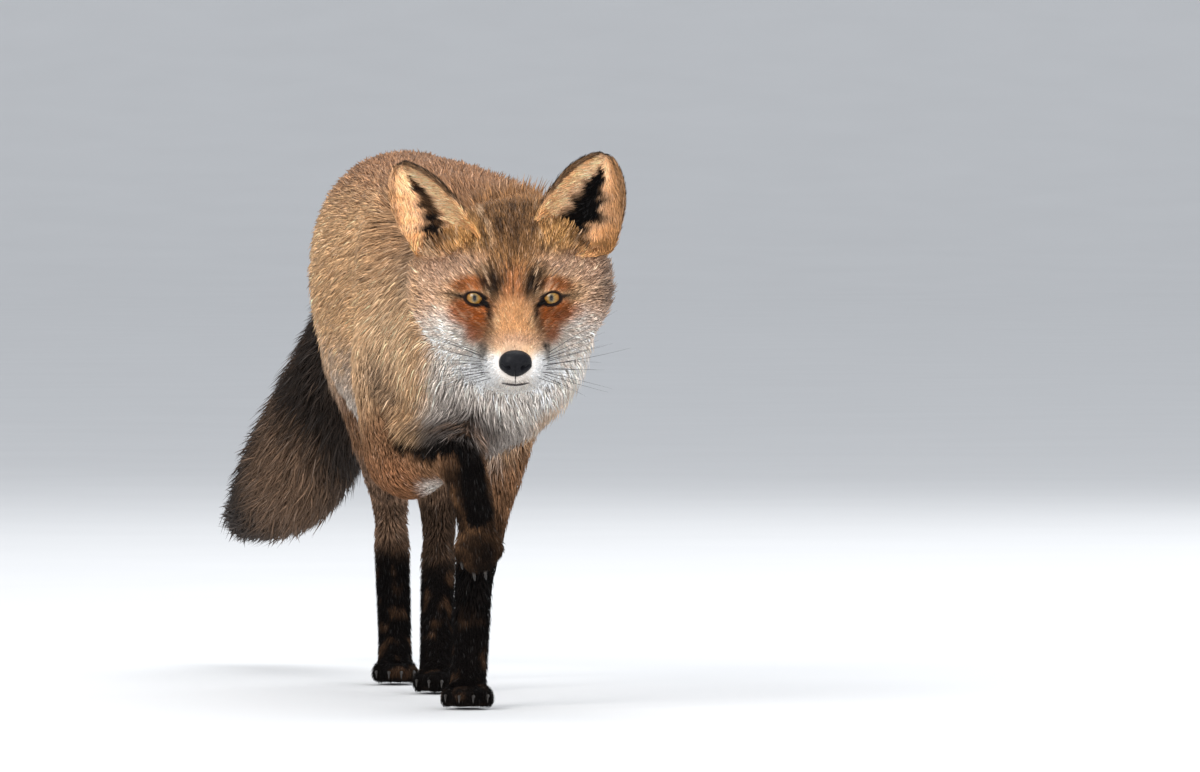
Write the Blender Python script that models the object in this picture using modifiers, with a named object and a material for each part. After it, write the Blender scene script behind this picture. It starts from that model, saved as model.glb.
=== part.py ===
"""A life-size red fox walking towards the viewer, head low and turned to look straight ahead.

Frame: metres, +Z up, the fox faces -Y and its own left side is +X. The soles stand on z = 0.
Every solid is the outer shape of the coat. Flesh parts are lofts and voxel-joined round
masses, cut clear of each other by a small gap.
"""

import math

import bmesh
import bpy
from mathutils import Matrix, Vector

# ---------------------------------------------------------------- driving dimensions
GAP = 0.0004            # clearance between neighbouring solids
VOXEL = 0.0032          # grain of the voxel joins
EYE_SPACING = 0.0530    # between the pupils
EYE_RADIUS = 0.0095
EYE_FORWARD = 0.0020    # how far the middle of the ball is in front of the head's own origin
HEAD_ORIGIN = Vector((0.0440, -0.2000, 0.2890))   # midpoint between the eyes
HEAD_PITCH = math.radians(12)                     # muzzle points down by this
HEAD_YAW = math.radians(2)                        # and a little to the fox's left
EAR_ROOT = (0.0395, -0.0520, 0.0270)              # where an ear leaves the head: left, forward, up
EAR_LENGTH = 0.0670
EAR_BURIED = 0.25       # part of that length carried on into the head
EAR_HALF_WIDTH = 0.0298
EAR_CUP = 0.0190
EAR_WALL = 0.0030
HIP_MIDLINE = -0.0435    # the thighs keep to their own side of this
SIDES = 26              # points round a trunk or head section

# name: (base colour, roughness)
COLOURS = {
    "red_coat": ((0.42, 0.20, 0.09), 0.85),
    "tan_coat": ((0.50, 0.33, 0.18), 0.85),
    "black_coat": ((0.035, 0.025, 0.022), 0.85),
    "amber_eye": ((0.45, 0.27, 0.06), 0.10),
    "black_nose": ((0.02, 0.02, 0.024), 0.35),
}


# ---------------------------------------------------------------- scene and materials
def clear_scene():
    for obj in list(bpy.data.objects):
        bpy.data.objects.remove(obj, do_unlink=True)


def make_collection(name):
    collection = bpy.data.collections.new(name)
    bpy.context.scene.collection.children.link(collection)
    return collection


def make_materials():
    made = {}
    for name, (colour, roughness) in COLOURS.items():
        material = bpy.data.materials.new(name)
        material.use_nodes = True
        shader = material.node_tree.nodes["Principled BSDF"]
        shader.inputs["Base Color"].default_value = (*colour, 1.0)
        shader.inputs["Roughness"].default_value = roughness
        shader.inputs["Metallic"].default_value = 0.0
        made[name] = material
    return made


# ---------------------------------------------------------------- mesh helpers
def object_from(bm, name, collection):
    mesh = bpy.data.meshes.new(name)
    bm.to_mesh(mesh)
    bm.free()
    obj = bpy.data.objects.new(name, mesh)
    collection.objects.link(obj)
    return obj


def settle(obj):
    """Makes what the modifiers show the object's own mesh."""
    graph = bpy.context.evaluated_depsgraph_get()
    graph.update()
    mesh = bpy.data.meshes.new_from_object(obj.evaluated_get(graph))
    obj.modifiers.clear()
    obj.data = mesh
    return obj


def section(width, top, middle, bottom, square_top, square_bottom):
    """One closed section round a body: a superellipse whose widest line is at height middle."""
    points = []
    for i in range(SIDES):
        angle = 2 * math.pi * i / SIDES
        across, along = math.cos(angle), math.sin(angle)
        square = square_top if along >= 0 else square_bottom
        height = (top - middle) if along >= 0 else (middle - bottom)
        x = width * math.copysign(abs(across) ** (2 / square), across)
        z = middle + height * math.copysign(abs(along) ** (2 / square), along)
        points.append((x, z))
    return points


def loft(name, rings, collection):
    """Joins rings of equal count, each a list of Vectors, and closes both ends."""
    bm = bmesh.new()
    loops = [[bm.verts.new(point) for point in ring] for ring in rings]
    for first, second in zip(loops, loops[1:]):
        for i in range(len(first)):
            j = (i + 1) % len(first)
            bm.faces.new((first[i], first[j], second[j], second[i]))
    bm.faces.new(list(reversed(loops[0])))
    bm.faces.new(loops[-1])
    bmesh.ops.triangulate(bm, faces=[f for f in bm.faces if len(f.verts) > 4])
    bmesh.ops.recalc_face_normals(bm, faces=bm.faces)
    return object_from(bm, name, collection)


def turn_to(direction):
    """The rotation that takes +Z to this direction."""
    return Vector(direction).to_track_quat("Z", "Y").to_matrix().to_4x4()


def add_ball(bm, centre, semi_axes, direction=(0, 0, 1), u=20, v=12):
    """An ellipsoid whose third semi-axis lies along direction."""
    matrix = Matrix.Translation(centre) @ turn_to(direction) @ Matrix.Diagonal((*semi_axes, 1))
    bmesh.ops.create_uvsphere(bm, u_segments=u, v_segments=v, radius=1, matrix=matrix)


def add_bone(bm, start, start_radius, end, end_radius):
    """A tapered round bar with a ball at each end."""
    start, end = Vector(start), Vector(end)
    along = end - start
    matrix = Matrix.Translation((start + end) / 2) @ turn_to(along)
    bmesh.ops.create_cone(bm, cap_ends=True, segments=20, radius1=start_radius,
                          radius2=end_radius, depth=along.length, matrix=matrix)
    add_ball(bm, start, (start_radius,) * 3)
    add_ball(bm, end, (end_radius,) * 3)


def fuse(obj, triangles, smoothing, voxel=VOXEL):
    """Joins overlapping closed shapes into one soft skin of about this many triangles."""
    remesh = obj.modifiers.new("Remesh", "REMESH")
    remesh.mode = "VOXEL"
    remesh.voxel_size = voxel
    soften = obj.modifiers.new("Soften", "SMOOTH")
    soften.iterations = smoothing
    soften.factor = 0.5
    settle(obj)
    obj.data.calc_loop_triangles()
    reduce = obj.modifiers.new("Reduce", "DECIMATE")
    reduce.ratio = min(1.0, triangles / len(obj.data.loop_triangles))
    settle(obj)
    return obj


def boolean(obj, cutter, operation="DIFFERENCE"):
    modifier = obj.modifiers.new("Cut", "BOOLEAN")
    modifier.operation = operation
    modifier.solver = "EXACT"
    modifier.object = cutter
    settle(obj)
    return obj


def grown_copy(obj, collection, by=GAP):
    """A cutter: the same shape, larger by the gap all round."""
    bm = bmesh.new()
    bm.from_mesh(obj.data)
    bm.normal_update()
    for vertex, normal in [(v, v.normal.copy()) for v in bm.verts]:
        vertex.co += normal * by
    copy = object_from(bm, obj.name + "_room", collection)
    copy.hide_render = True
    copy.display_type = "WIRE"
    return copy


def cut_flat(obj, point, normal):
    """Takes away what lies behind a plane and closes the cut with a flat face."""
    bm = bmesh.new()
    bm.from_mesh(obj.data)
    geometry = bm.verts[:] + bm.edges[:] + bm.faces[:]
    cut = bmesh.ops.bisect_plane(bm, geom=geometry, plane_co=point, plane_no=normal,
                                 clear_inner=True)
    edges = [e for e in cut["geom_cut"] if isinstance(e, bmesh.types.BMEdge)]
    bmesh.ops.holes_fill(bm, edges=edges, sides=0)
    bmesh.ops.triangulate(bm, faces=[f for f in bm.faces if len(f.verts) > 4])
    bm.to_mesh(obj.data)
    bm.free()


def drop_scraps(obj):
    """Keeps only the largest connected piece, by number of corners."""
    bm = bmesh.new()
    bm.from_mesh(obj.data)
    left, islands = set(bm.verts), []
    while left:
        island, edge = set(), [left.pop()]
        while edge:
            vertex = edge.pop()
            island.add(vertex)
            near = [e.other_vert(vertex) for e in vertex.link_edges]
            edge += [v for v in near if v in left]
            left.difference_update(near)
        islands.append(island)
    largest = max(islands, key=len)
    bmesh.ops.delete(bm, geom=[v for v in bm.verts if v not in largest], context="VERTS")
    bm.to_mesh(obj.data)
    bm.free()


def part_with_cuts(obj, cuts, names, order_point, cutters):
    """Saws obj through with thin discs (centre, normal, radius) and names the lengths in order
    of their distance from order_point."""
    for number, (centre, normal, radius) in enumerate(cuts):
        bm = bmesh.new()
        matrix = Matrix.Translation(centre) @ turn_to(normal)
        bmesh.ops.create_cone(bm, cap_ends=True, segments=32, radius1=radius, radius2=radius,
                              depth=GAP, matrix=matrix)
        saw = object_from(bm, f"{obj.name}_saw_{number}", cutters)
        saw.hide_render = True
        saw.display_type = "WIRE"
        boolean(obj, saw)
    bpy.ops.object.select_all(action="DESELECT")
    bpy.context.view_layer.objects.active = obj
    obj.select_set(True)
    bpy.ops.object.mode_set(mode="EDIT")
    bpy.ops.mesh.select_all(action="SELECT")
    bpy.ops.mesh.separate(type="LOOSE")
    bpy.ops.object.mode_set(mode="OBJECT")
    pieces = list(bpy.context.selected_objects)

    def distance(piece):
        points = [v.co for v in piece.data.vertices]
        return (sum(points, Vector()) / len(points) - Vector(order_point)).length

    pieces.sort(key=distance)
    for piece in pieces:
        piece.name = "sawn"
    for piece, name in zip(pieces, names, strict=True):
        piece.name = name
        piece.data.name = name
    return pieces


# ---------------------------------------------------------------- head
def head_frame():
    """Columns: fox's left, forward along the muzzle, up; the origin is between the eyes."""
    left = Vector((1, 0, 0))
    forward = Vector((0, -math.cos(HEAD_PITCH), -math.sin(HEAD_PITCH)))
    up = Vector((0, -math.sin(HEAD_PITCH), math.cos(HEAD_PITCH)))
    turn = Matrix.Rotation(HEAD_YAW, 3, "Z")
    basis = Matrix((turn @ left, turn @ forward, turn @ up)).transposed().to_4x4()
    return Matrix.Translation(HEAD_ORIGIN) @ basis


# forward, half width, top, widest height, bottom: the coat's outline from the nose backwards
HEAD_STATIONS = (
    (0.0690, 0.0120, -0.0215, -0.0310, -0.0430),
    (0.0620, 0.0195, -0.0175, -0.0320, -0.0520),
    (0.0500, 0.0235, -0.0125, -0.0320, -0.0570),
    (0.0360, 0.0248, -0.0070, -0.0295, -0.0600),
    (0.0220, 0.0270, -0.0010, -0.0250, -0.0625),
    (0.0100, 0.0345, 0.0075, -0.0190, -0.0650),
    (-0.0040, 0.0480, 0.0215, -0.0120, -0.0690),
    (-0.0190, 0.0600, 0.0360, -0.0080, -0.0740),
    (-0.0350, 0.0670, 0.0470, -0.0060, -0.0780),
    (-0.0520, 0.0700, 0.0535, -0.0060, -0.0800),
    (-0.0700, 0.0690, 0.0545, -0.0080, -0.0800),
    (-0.0880, 0.0630, 0.0500, -0.0100, -0.0760),
    (-0.1040, 0.0510, 0.0400, -0.0120, -0.0660),
)


def make_head(collection):
    frame = head_frame()
    rings = []
    for forward, width, top, middle, bottom in HEAD_STATIONS:
        outline = section(width, top, middle, bottom, square_top=2.1, square_bottom=1.75)
        rings.append([frame @ Vector((x, forward, z)) for x, z in outline])
    return loft("head", rings, collection)


def make_eye(side, name, collection):
    frame = head_frame()
    bm = bmesh.new()
    centre = frame @ Vector((side * EYE_SPACING / 2, EYE_FORWARD, 0.0))
    add_ball(bm, centre, (EYE_RADIUS,) * 3, frame.to_3x3() @ Vector((side * 0.5, 1, 0)), u=14, v=7)
    return object_from(bm, name, collection)


def make_nose(collection):
    """The bare nose pad: a rounded wedge, wide above and narrow below, with two nostrils."""
    frame = head_frame()
    half_width, half_height, half_depth = 0.0112, 0.0092, 0.0080
    bm = bmesh.new()
    bmesh.ops.create_uvsphere(bm, u_segments=16, v_segments=9, radius=1)
    for vertex in bm.verts:
        x, y, z = vertex.co
        narrow = 1.0 - 0.34 * max(0.0, -z) ** 1.5
        flat = math.copysign(abs(y) ** 0.75, y)
        lean = 0.0022 * z
        vertex.co = frame @ Vector((half_width * x * narrow, 0.0668 + half_depth * flat - lean,
                                    -0.0300 + half_height * z))
    nose = object_from(bm, "nose", collection)
    for side in (-1, 1):
        pit = bmesh.new()
        centre = frame @ Vector((side * 0.0062, 0.0745, -0.0335))
        add_ball(pit, centre, (0.0026, 0.0021, 0.0034), frame.to_3x3() @ Vector((side * 0.4, 1, 0)),
                 u=8, v=5)
        cutter = object_from(pit, f"nostril_{side}", collection)
        boolean(nose, cutter)
        bpy.data.objects.remove(cutter)
    return nose


def make_ear(side, name, lean, face_out, collection):
    """A cupped leaf. lean tips it outwards, face_out turns its opening away from straight ahead."""
    frame = head_frame()
    rows, columns = 9, 7
    root = Vector((side * EAR_ROOT[0], EAR_ROOT[1], EAR_ROOT[2]))
    up = Vector((side * math.sin(lean), -0.10, math.cos(lean))).normalized()
    face = Vector((side * math.sin(face_out), math.cos(face_out), 0.0))
    face = (face - up * face.dot(up)).normalized()
    across = face.cross(up).normalized() * -side
    bm = bmesh.new()
    grid = []
    for r in range(rows + 1):
        s = (r / rows) * (1 + EAR_BURIED) - EAR_BURIED
        width = EAR_HALF_WIDTH * (1 - max(s, 0.0) ** 2.2) ** 0.75 * (1 + 0.25 * min(s, 0.0))
        width = max(width, 0.0020)
        depth = EAR_CUP * (1 - 0.70 * max(s, 0.0))
        row = []
        for c in range(columns + 1):
            t = 2 * c / columns - 1
            bend = depth * (1 - abs(t) ** 1.8)
            point = root + up * (EAR_LENGTH * s) + across * (width * t) - face * (bend - 0.45 * EAR_CUP)
            row.append(bm.verts.new(frame @ point))
        grid.append(row)
    for first, second in zip(grid, grid[1:]):
        for a, b, c, d in zip(first, first[1:], second[1:], second):
            bm.faces.new((a, b, c, d))
    ear = object_from(bm, name, collection)
    wall = ear.modifiers.new("Wall", "SOLIDIFY")
    wall.thickness = EAR_WALL
    wall.offset = 0
    settle(ear)
    bm = bmesh.new()
    bm.from_mesh(ear.data)
    bmesh.ops.triangulate(bm, faces=bm.faces)
    bmesh.ops.recalc_face_normals(bm, faces=bm.faces)
    bm.to_mesh(ear.data)
    bm.free()
    return ear


# ---------------------------------------------------------------- trunk, neck and tail
# distance behind the shoulder, sideways place, half width, top and bottom of the coat
TRUNK_STATIONS = (
    (-0.0850, 0.0060, 0.0440, 0.3350, 0.1900),
    (-0.0400, 0.0040, 0.0620, 0.3720, 0.1720),
    (0.0200, 0.0000, 0.0680, 0.3860, 0.1640),
    (0.1000, -0.0140, 0.0730, 0.3885, 0.1640),
    (0.1800, -0.0270, 0.0760, 0.3900, 0.1770),
    (0.2600, -0.0360, 0.0725, 0.3935, 0.2030),
    (0.3300, -0.0420, 0.0620, 0.3925, 0.2420),
    (0.3850, -0.0460, 0.0480, 0.3790, 0.2700),
    (0.4250, -0.0480, 0.0330, 0.3600, 0.2950),
)
NECK_STATIONS = (
    (0.0300, 0.0020, 0.0640, 0.3720, 0.1860),
    (-0.0300, 0.0130, 0.0730, 0.3720, 0.1760),
    (-0.0800, 0.0270, 0.0755, 0.3640, 0.1800),
    (-0.1200, 0.0370, 0.0665, 0.3500, 0.1960),
    (-0.1500, 0.0420, 0.0500, 0.3300, 0.2220),
)


def stations_to_rings(stations, square_top, square_bottom, widest=0.52):
    rings = []
    for y, x_middle, width, top, bottom in stations:
        middle = bottom + (top - bottom) * widest
        outline = section(width, top, middle, bottom, square_top, square_bottom)
        rings.append([Vector((x_middle + x, y, z)) for x, z in outline])
    return rings


def make_torso(collection):
    """Trunk and neck in one, with shoulder blades and haunches."""
    trunk = loft("trunk", stations_to_rings(TRUNK_STATIONS, 2.1, 2.0), collection)
    neck = loft("neck_core", stations_to_rings(NECK_STATIONS, 2.1, 2.1), collection)
    bm = bmesh.new()
    bm.from_mesh(trunk.data)
    bm.from_mesh(neck.data)
    bpy.data.objects.remove(neck)
    for side in (-1, 1):
        add_ball(bm, (side * 0.038, 0.010, 0.300), (0.034, 0.052, 0.080), (0, 0.25, 1))
        add_ball(bm, (HIP_MIDLINE + side * 0.028, 0.355, 0.320), (0.030, 0.062, 0.062), (0, 0.2, 1))
    bm.to_mesh(trunk.data)
    bm.free()
    return fuse(trunk, 1350, 14, voxel=0.0045)


# centre line and radius of the brush, out to the tips of its hair
TAIL_LINE = (
    ((-0.0470, 0.3900, 0.3420), 0.0230),
    ((-0.0560, 0.4500, 0.3200), 0.0290),
    ((-0.0770, 0.5300, 0.2640), 0.0370),
    ((-0.0990, 0.6100, 0.2040), 0.0440),
    ((-0.1210, 0.6850, 0.1570), 0.0480),
    ((-0.1370, 0.7400, 0.1340), 0.0420),
    ((-0.1540, 0.7800, 0.1200), 0.0310),
    ((-0.1740, 0.8120, 0.1070), 0.0170),
)


def make_tail(collection):
    bm = bmesh.new()
    for (start, start_radius), (end, end_radius) in zip(TAIL_LINE, TAIL_LINE[1:]):
        add_bone(bm, start, start_radius, end, end_radius)
    return fuse(object_from(bm, "tail", collection), 500, 26)


# ---------------------------------------------------------------- legs
def add_paw(bm, heel, toes, up, width):
    """Pad and four toes: heel and toes are the ends of the paw, up is its upper side."""
    heel, toes, up = Vector(heel), Vector(toes), Vector(up).normalized()
    along = (toes - heel).normalized()
    across = along.cross(up).normalized()
    middle = (heel + toes) / 2
    length = (toes - heel).length
    add_ball(bm, heel + along * 0.30 * length, (width * 0.40, 0.0125, length * 0.42), along)
    for place, reach, rise in ((-1.5, 0.62, 0.0), (-0.5, 0.80, 0.0010), (0.5, 0.80, 0.0010), (1.5, 0.62, 0.0)):
        centre = heel + along * reach * length + across * (place * width * 0.245) + up * rise
        add_ball(bm, centre, (width * 0.150, 0.0105, length * 0.25), along + across * place * 0.10)
    add_ball(bm, middle + up * 0.002, (width * 0.38, 0.011, length * 0.38), along)


def make_leg(name, joints, masses, paw, collection, triangles=520):
    """joints run from the trunk to the paw as (place, radius)."""
    bm = bmesh.new()
    for (start, start_radius), (end, end_radius) in zip(joints, joints[1:]):
        add_bone(bm, start, start_radius, end, end_radius)
    for centre, semi_axes, direction in masses:
        add_ball(bm, centre, semi_axes, direction)
    add_paw(bm, *paw)
    leg = fuse(object_from(bm, name, collection), triangles, 5, voxel=0.0026)
    return leg


LEGS = {
    "foreleg_left": {
        "joints": (((0.0420, -0.0250, 0.2550), 0.0280), ((0.0320, 0.0120, 0.1880), 0.0230),
                   ((0.0150, -0.0060, 0.0900), 0.0150), ((0.0120, -0.0120, 0.0350), 0.0145),
                   ((0.0115, -0.0180, 0.0180), 0.0140)),
        "masses": (((0.0440, 0.0000, 0.2380), (0.0310, 0.0400, 0.0560), (0.0, 0.15, 1)),
                   ((0.0325, 0.0080, 0.1850), (0.0230, 0.0290, 0.0420), (0.1, -0.1, 1))),
        "paw": ((0.0115, -0.0060, 0.0090), (0.0105, -0.0560, 0.0080), (0, 0, 1), 0.0400),
        "cuts": (((0.0300, 0.0070, 0.1600), (0.12, 0.15, 1), 0.050),
                 ((0.0135, -0.0080, 0.0640), (0.05, 0.10, 1), 0.040)),
    },
    "foreleg_right": {
        "joints": (((-0.0390, -0.0250, 0.2550), 0.0300), ((-0.0340, 0.0000, 0.1750), 0.0290),
                   ((0.0070, -0.1150, 0.1810), 0.0170), ((0.0180, -0.1080, 0.1360), 0.0150)),
        "masses": (((-0.0420, -0.0020, 0.2380), (0.0310, 0.0400, 0.0560), (0.0, 0.10, 1)),
                   ((-0.0290, -0.0250, 0.1710), (0.0240, 0.0270, 0.0420), (0.25, -1, 0))),
        "paw": ((0.0165, -0.1085, 0.1430), (0.0205, -0.1150, 0.0965), (0, -1, -0.2), 0.0350),
        "cuts": (((-0.0340, 0.0020, 0.1950), (-0.15, 0.55, 1), 0.064),
                 ((0.0100, -0.1130, 0.1680), (0.1, 0.75, 1), 0.034)),
    },
    "hindleg_left": {
        "joints": (((-0.0200, 0.3450, 0.2900), 0.0250), ((-0.0140, 0.2780, 0.2150), 0.0290),
                   ((-0.0130, 0.3080, 0.1220), 0.0140), ((-0.0140, 0.2660, 0.0330), 0.0135),
                   ((-0.0140, 0.2560, 0.0180), 0.0140)),
        "masses": (((-0.0160, 0.3250, 0.2620), (0.0330, 0.0600, 0.0820), (0, 0.55, 1)),
                   ((-0.0130, 0.3060, 0.1750), (0.0200, 0.0270, 0.0560), (0, 0.25, -1))),
        "paw": ((-0.0140, 0.2680, 0.0090), (-0.0145, 0.2200, 0.0080), (0, 0, 1), 0.0370),
        "cuts": (((-0.0130, 0.2950, 0.1780), (0.0, -0.15, 1), 0.060),
                 ((-0.0135, 0.2950, 0.0930), (0.0, 0.35, 1), 0.040)),
    },
    "hindleg_right": {
        "joints": (((-0.0680, 0.3650, 0.2900), 0.0250), ((-0.0610, 0.3250, 0.2150), 0.0270),
                   ((-0.0500, 0.4550, 0.1300), 0.0145), ((-0.0470, 0.4350, 0.0330), 0.0135),
                   ((-0.0465, 0.4260, 0.0180), 0.0140)),
        "masses": (((-0.0700, 0.3620, 0.2720), (0.0340, 0.0590, 0.0840), (0, 0.30, 1)),
                   ((-0.0560, 0.3830, 0.1850), (0.0200, 0.0250, 0.0600), (0.05, 1, -0.7))),
        "paw": ((-0.0465, 0.4380, 0.0090), (-0.0460, 0.3900, 0.0080), (0, 0, 1), 0.0370),
        "cuts": (((-0.0565, 0.3720, 0.1800), (0.0, -0.60, 0.80), 0.060),
                 ((-0.0495, 0.4500, 0.1020), (0.0, 0.15, 1), 0.036)),
    },
}
LEG_PARTS = {"foreleg": ("upper", "forearm", "paw"), "hindleg": ("thigh", "shank", "foot")}


# ---------------------------------------------------------------- assembly
def give(obj, material):
    obj.data.materials.clear()
    obj.data.materials.append(material)
    for polygon in obj.data.polygons:
        polygon.use_smooth = True


def stand_at_origin(objects):
    """Puts the middle of the whole fox's footprint box over the origin."""
    points = [vertex.co for obj in objects for vertex in obj.data.vertices]
    shift = Vector([
        -(min(p[axis] for p in points) + max(p[axis] for p in points)) / 2 for axis in (0, 1)
    ] + [0.0])
    for obj in objects:
        obj.data.transform(Matrix.Translation(shift))


def main():
    clear_scene()
    fox = make_collection("red_fox")
    cutters = make_collection("cutters")
    materials = make_materials()

    head = make_head(fox)
    eyes = [make_eye(1, "eye_left", fox), make_eye(-1, "eye_right", fox)]
    nose = make_nose(fox)
    ears = [
        make_ear(1, "ear_left", math.radians(21), math.radians(8), fox),
        make_ear(-1, "ear_right", math.radians(31), math.radians(40), fox),
    ]
    torso = make_torso(fox)
    tail = make_tail(fox)
    legs = {
        name: make_leg(name, plan["joints"], plan["masses"], plan["paw"], fox)
        for name, plan in LEGS.items()
    }
    for leg in legs.values():
        if leg.name != "foreleg_right":
            cut_flat(leg, (0, 0, 0), (0, 0, 1))

    for part in (*eyes, nose):
        boolean(head, grown_copy(part, cutters))
    for ear in ears:
        boolean(ear, grown_copy(head, cutters))
    tail_room = grown_copy(tail, cutters)
    for name, leg in legs.items():
        if name.startswith("hindleg"):
            boolean(leg, tail_room)
            drop_scraps(leg)
    boolean(torso, grown_copy(head, cutters))
    for leg in legs.values():
        boolean(torso, grown_copy(leg, cutters))
    boolean(torso, tail_room)
    drop_scraps(torso)

    trunk, neck = part_with_cuts(torso, [((0.006, -0.048, 0.275), (0.12, -1, 0.10), 0.16)],
                                 ("trunk", "neck"), (-0.02, 0.18, 0.28), cutters)
    parts = {"tan_coat": [neck, head, *ears], "red_coat": [trunk], "black_coat": [tail],
             "amber_eye": eyes, "black_nose": [nose]}
    for name, leg in legs.items():
        words = LEG_PARTS[name.split("_")[0]]
        names = [f"{name}_{word}" for word in words]
        root = LEGS[name]["joints"][0][0]
        upper, middle, foot = part_with_cuts(leg, LEGS[name]["cuts"], names, root, cutters)
        if name.startswith("hindleg"):
            outward = 1 if name.endswith("left") else -1
            cut_flat(upper, (HIP_MIDLINE + outward * GAP, 0, 0), (outward, 0, 0))
        parts["tan_coat"].append(upper)
        parts["black_coat"] += [middle, foot]
    for material, members in parts.items():
        for member in members:
            give(member, materials[material])
    stand_at_origin([member for members in parts.values() for member in members])


main()
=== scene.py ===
"""A life-size red fox in full winter coat: skin, eyes, nose, claws, whiskers and a coat of tufts round
the solid frame, with a pale studio stage."""

import math

import bmesh
import bpy
import numpy as np
from bpy.props import FloatProperty, FloatVectorProperty, IntProperty, PointerProperty
from mathutils import Matrix, Vector
from mathutils.bvhtree import BVHTree
from mathutils.kdtree import KDTree


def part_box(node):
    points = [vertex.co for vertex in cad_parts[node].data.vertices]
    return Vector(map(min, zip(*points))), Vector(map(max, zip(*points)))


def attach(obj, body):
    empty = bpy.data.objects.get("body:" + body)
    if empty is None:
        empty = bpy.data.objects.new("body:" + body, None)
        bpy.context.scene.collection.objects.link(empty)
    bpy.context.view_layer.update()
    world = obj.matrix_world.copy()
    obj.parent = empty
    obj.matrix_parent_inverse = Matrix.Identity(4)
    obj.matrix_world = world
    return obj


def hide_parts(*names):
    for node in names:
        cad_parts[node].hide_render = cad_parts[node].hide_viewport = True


bl_info = {
    "name": "Red Fox in Winter Coat",
    "version": (1, 0, 0),
    "blender": (4, 5, 0),
    "location": "3D View > Sidebar > Fox",
    "description": "Builds the skin, eyes, nose, claws, whiskers and coat of a walking red fox",
    "category": "Add Mesh",
}

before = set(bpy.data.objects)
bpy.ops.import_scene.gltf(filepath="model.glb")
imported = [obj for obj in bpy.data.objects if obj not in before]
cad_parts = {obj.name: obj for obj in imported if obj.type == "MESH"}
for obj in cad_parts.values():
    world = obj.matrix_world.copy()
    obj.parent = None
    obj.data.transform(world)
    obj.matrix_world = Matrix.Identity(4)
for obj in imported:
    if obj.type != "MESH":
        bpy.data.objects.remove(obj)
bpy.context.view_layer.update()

HEAD_PITCH = math.radians(12)
HEAD_YAW = math.radians(2)
HEAD_TILT = (-0.208, 0.978)                     # how forward and up add to the height seen from in front
HEAD_PLACE = Vector((0.0440, -0.2000, 0.2890))  # between the eyes, from the floor under the shoulders
EYE_FORWARD = 0.0020
EYE_RADIUS = 0.0095
EAR_ROOT = (0.0395, -0.0520, 0.0270)            # where an ear leaves the head: left, forward, up
EAR_LENGTH = 0.0670
EAR_HALF_WIDTH = 0.0298
EAR_CUP = 0.0190
# side of the head, degrees it tips outwards, degrees its opening turns away from straight ahead
EAR_SET = {"ear_left": (1, 21, 8), "ear_right": (-1, 31, 40)}
NOSE_SHIFT = (0, -0.0006, -0.0014)              # the nose pad from the middle of its solid
BARE = ("eye_left", "eye_right", "nose")
EARS = tuple(EAR_SET)
FLESH = [name for name in sorted(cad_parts) if name not in BARE]
SKIN_VOXEL = 0.0034                             # how finely the joined skin is meshed
BAKE_PATCH = 0.0028                             # width of a tuft's patch on the unwrap
JOIN_SWELL = 0.0004                             # how far the solids are swollen so that they join
MM = 1000                                       # the head's marks are placed in millimetres
made = {}                                       # what the skin's operator leaves for the others


# ---------------------------------------------------------------- places
def middle(node):
    """The middle of a solid's box."""
    low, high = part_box(node)
    return (low + high) / 2


def head_matrix():
    """From fox's left, forward and up, with the origin between the eyes, to the world."""
    forward = Vector((0, -math.cos(HEAD_PITCH), -math.sin(HEAD_PITCH)))
    up = Vector((0, -math.sin(HEAD_PITCH), math.cos(HEAD_PITCH)))
    turn = Matrix.Rotation(HEAD_YAW, 3, "Z")
    basis = Matrix((turn @ Vector((1, 0, 0)), turn @ forward, turn @ up)).transposed().to_4x4()
    place = (middle("eye_left") + middle("eye_right")) / 2
    return Matrix.Translation(place - basis.to_3x3() @ Vector((0, EYE_FORWARD, 0))) @ basis


HEAD = head_matrix()
SHOULDER = HEAD.translation - HEAD_PLACE       # the floor under the shoulders, in the world
HEAD_AXES = np.array(HEAD.to_3x3())            # columns: left, forward, up


def to_head(points):
    """World points in the head's own left, forward, up."""
    return (points - np.array(HEAD.translation)) @ HEAD_AXES


def head_measures(points):
    """In millimetres: places in the head's axes, distance from its middle, height seen from in front."""
    local = to_head(points) * MM
    return local, np.abs(local[:, 0]), HEAD_TILT[0] * local[:, 1] + HEAD_TILT[1] * local[:, 2]


def to_pose(points):
    """World points from the floor under the shoulders."""
    return points - np.array(SHOULDER)


def ear_frame(ear):
    """The ear's root and its axes across (outwards), face and up, in the world."""
    side, lean, face_out = EAR_SET[ear]
    lean, face_out = math.radians(lean), math.radians(face_out)
    up = Vector((side * math.sin(lean), -0.10, math.cos(lean))).normalized()
    face = Vector((side * math.sin(face_out), math.cos(face_out), 0.0))
    face = (face - up * face.dot(up)).normalized()
    across = face.cross(up).normalized() * -side
    if across.dot(Vector((side, 0, 0))) < 0:
        across = -across
    root = HEAD @ Vector((side * EAR_ROOT[0], EAR_ROOT[1], EAR_ROOT[2]))
    turn = HEAD.to_3x3()
    return np.array(root), np.array((turn @ across, turn @ face, turn @ up)).T


def to_ear(points, ear):
    """Across from -1 (inner edge) to 1 (outer edge), height from 0 (root) to 1 (tip), place along the
    face."""
    root, axes = ear_frame(ear)
    local = (points - root) @ axes
    height = local[:, 2] / EAR_LENGTH
    width = ear_half_width(height)
    return local[:, 0] / width, height, local[:, 1]


def ear_half_width(height):
    """Half the width of the ear's markings at a height."""
    high = np.clip(height, 0, 0.999)
    return np.maximum(EAR_HALF_WIDTH * (1 - high ** 2.2) ** 0.75 * (1 + 0.25 * np.minimum(height, 0)), 0.002)


# ---------------------------------------------------------------- small tools
def deselect():
    if bpy.context.object and bpy.context.object.mode != "OBJECT":
        bpy.ops.object.mode_set(mode="OBJECT")
    bpy.ops.object.select_all(action="DESELECT")


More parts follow.
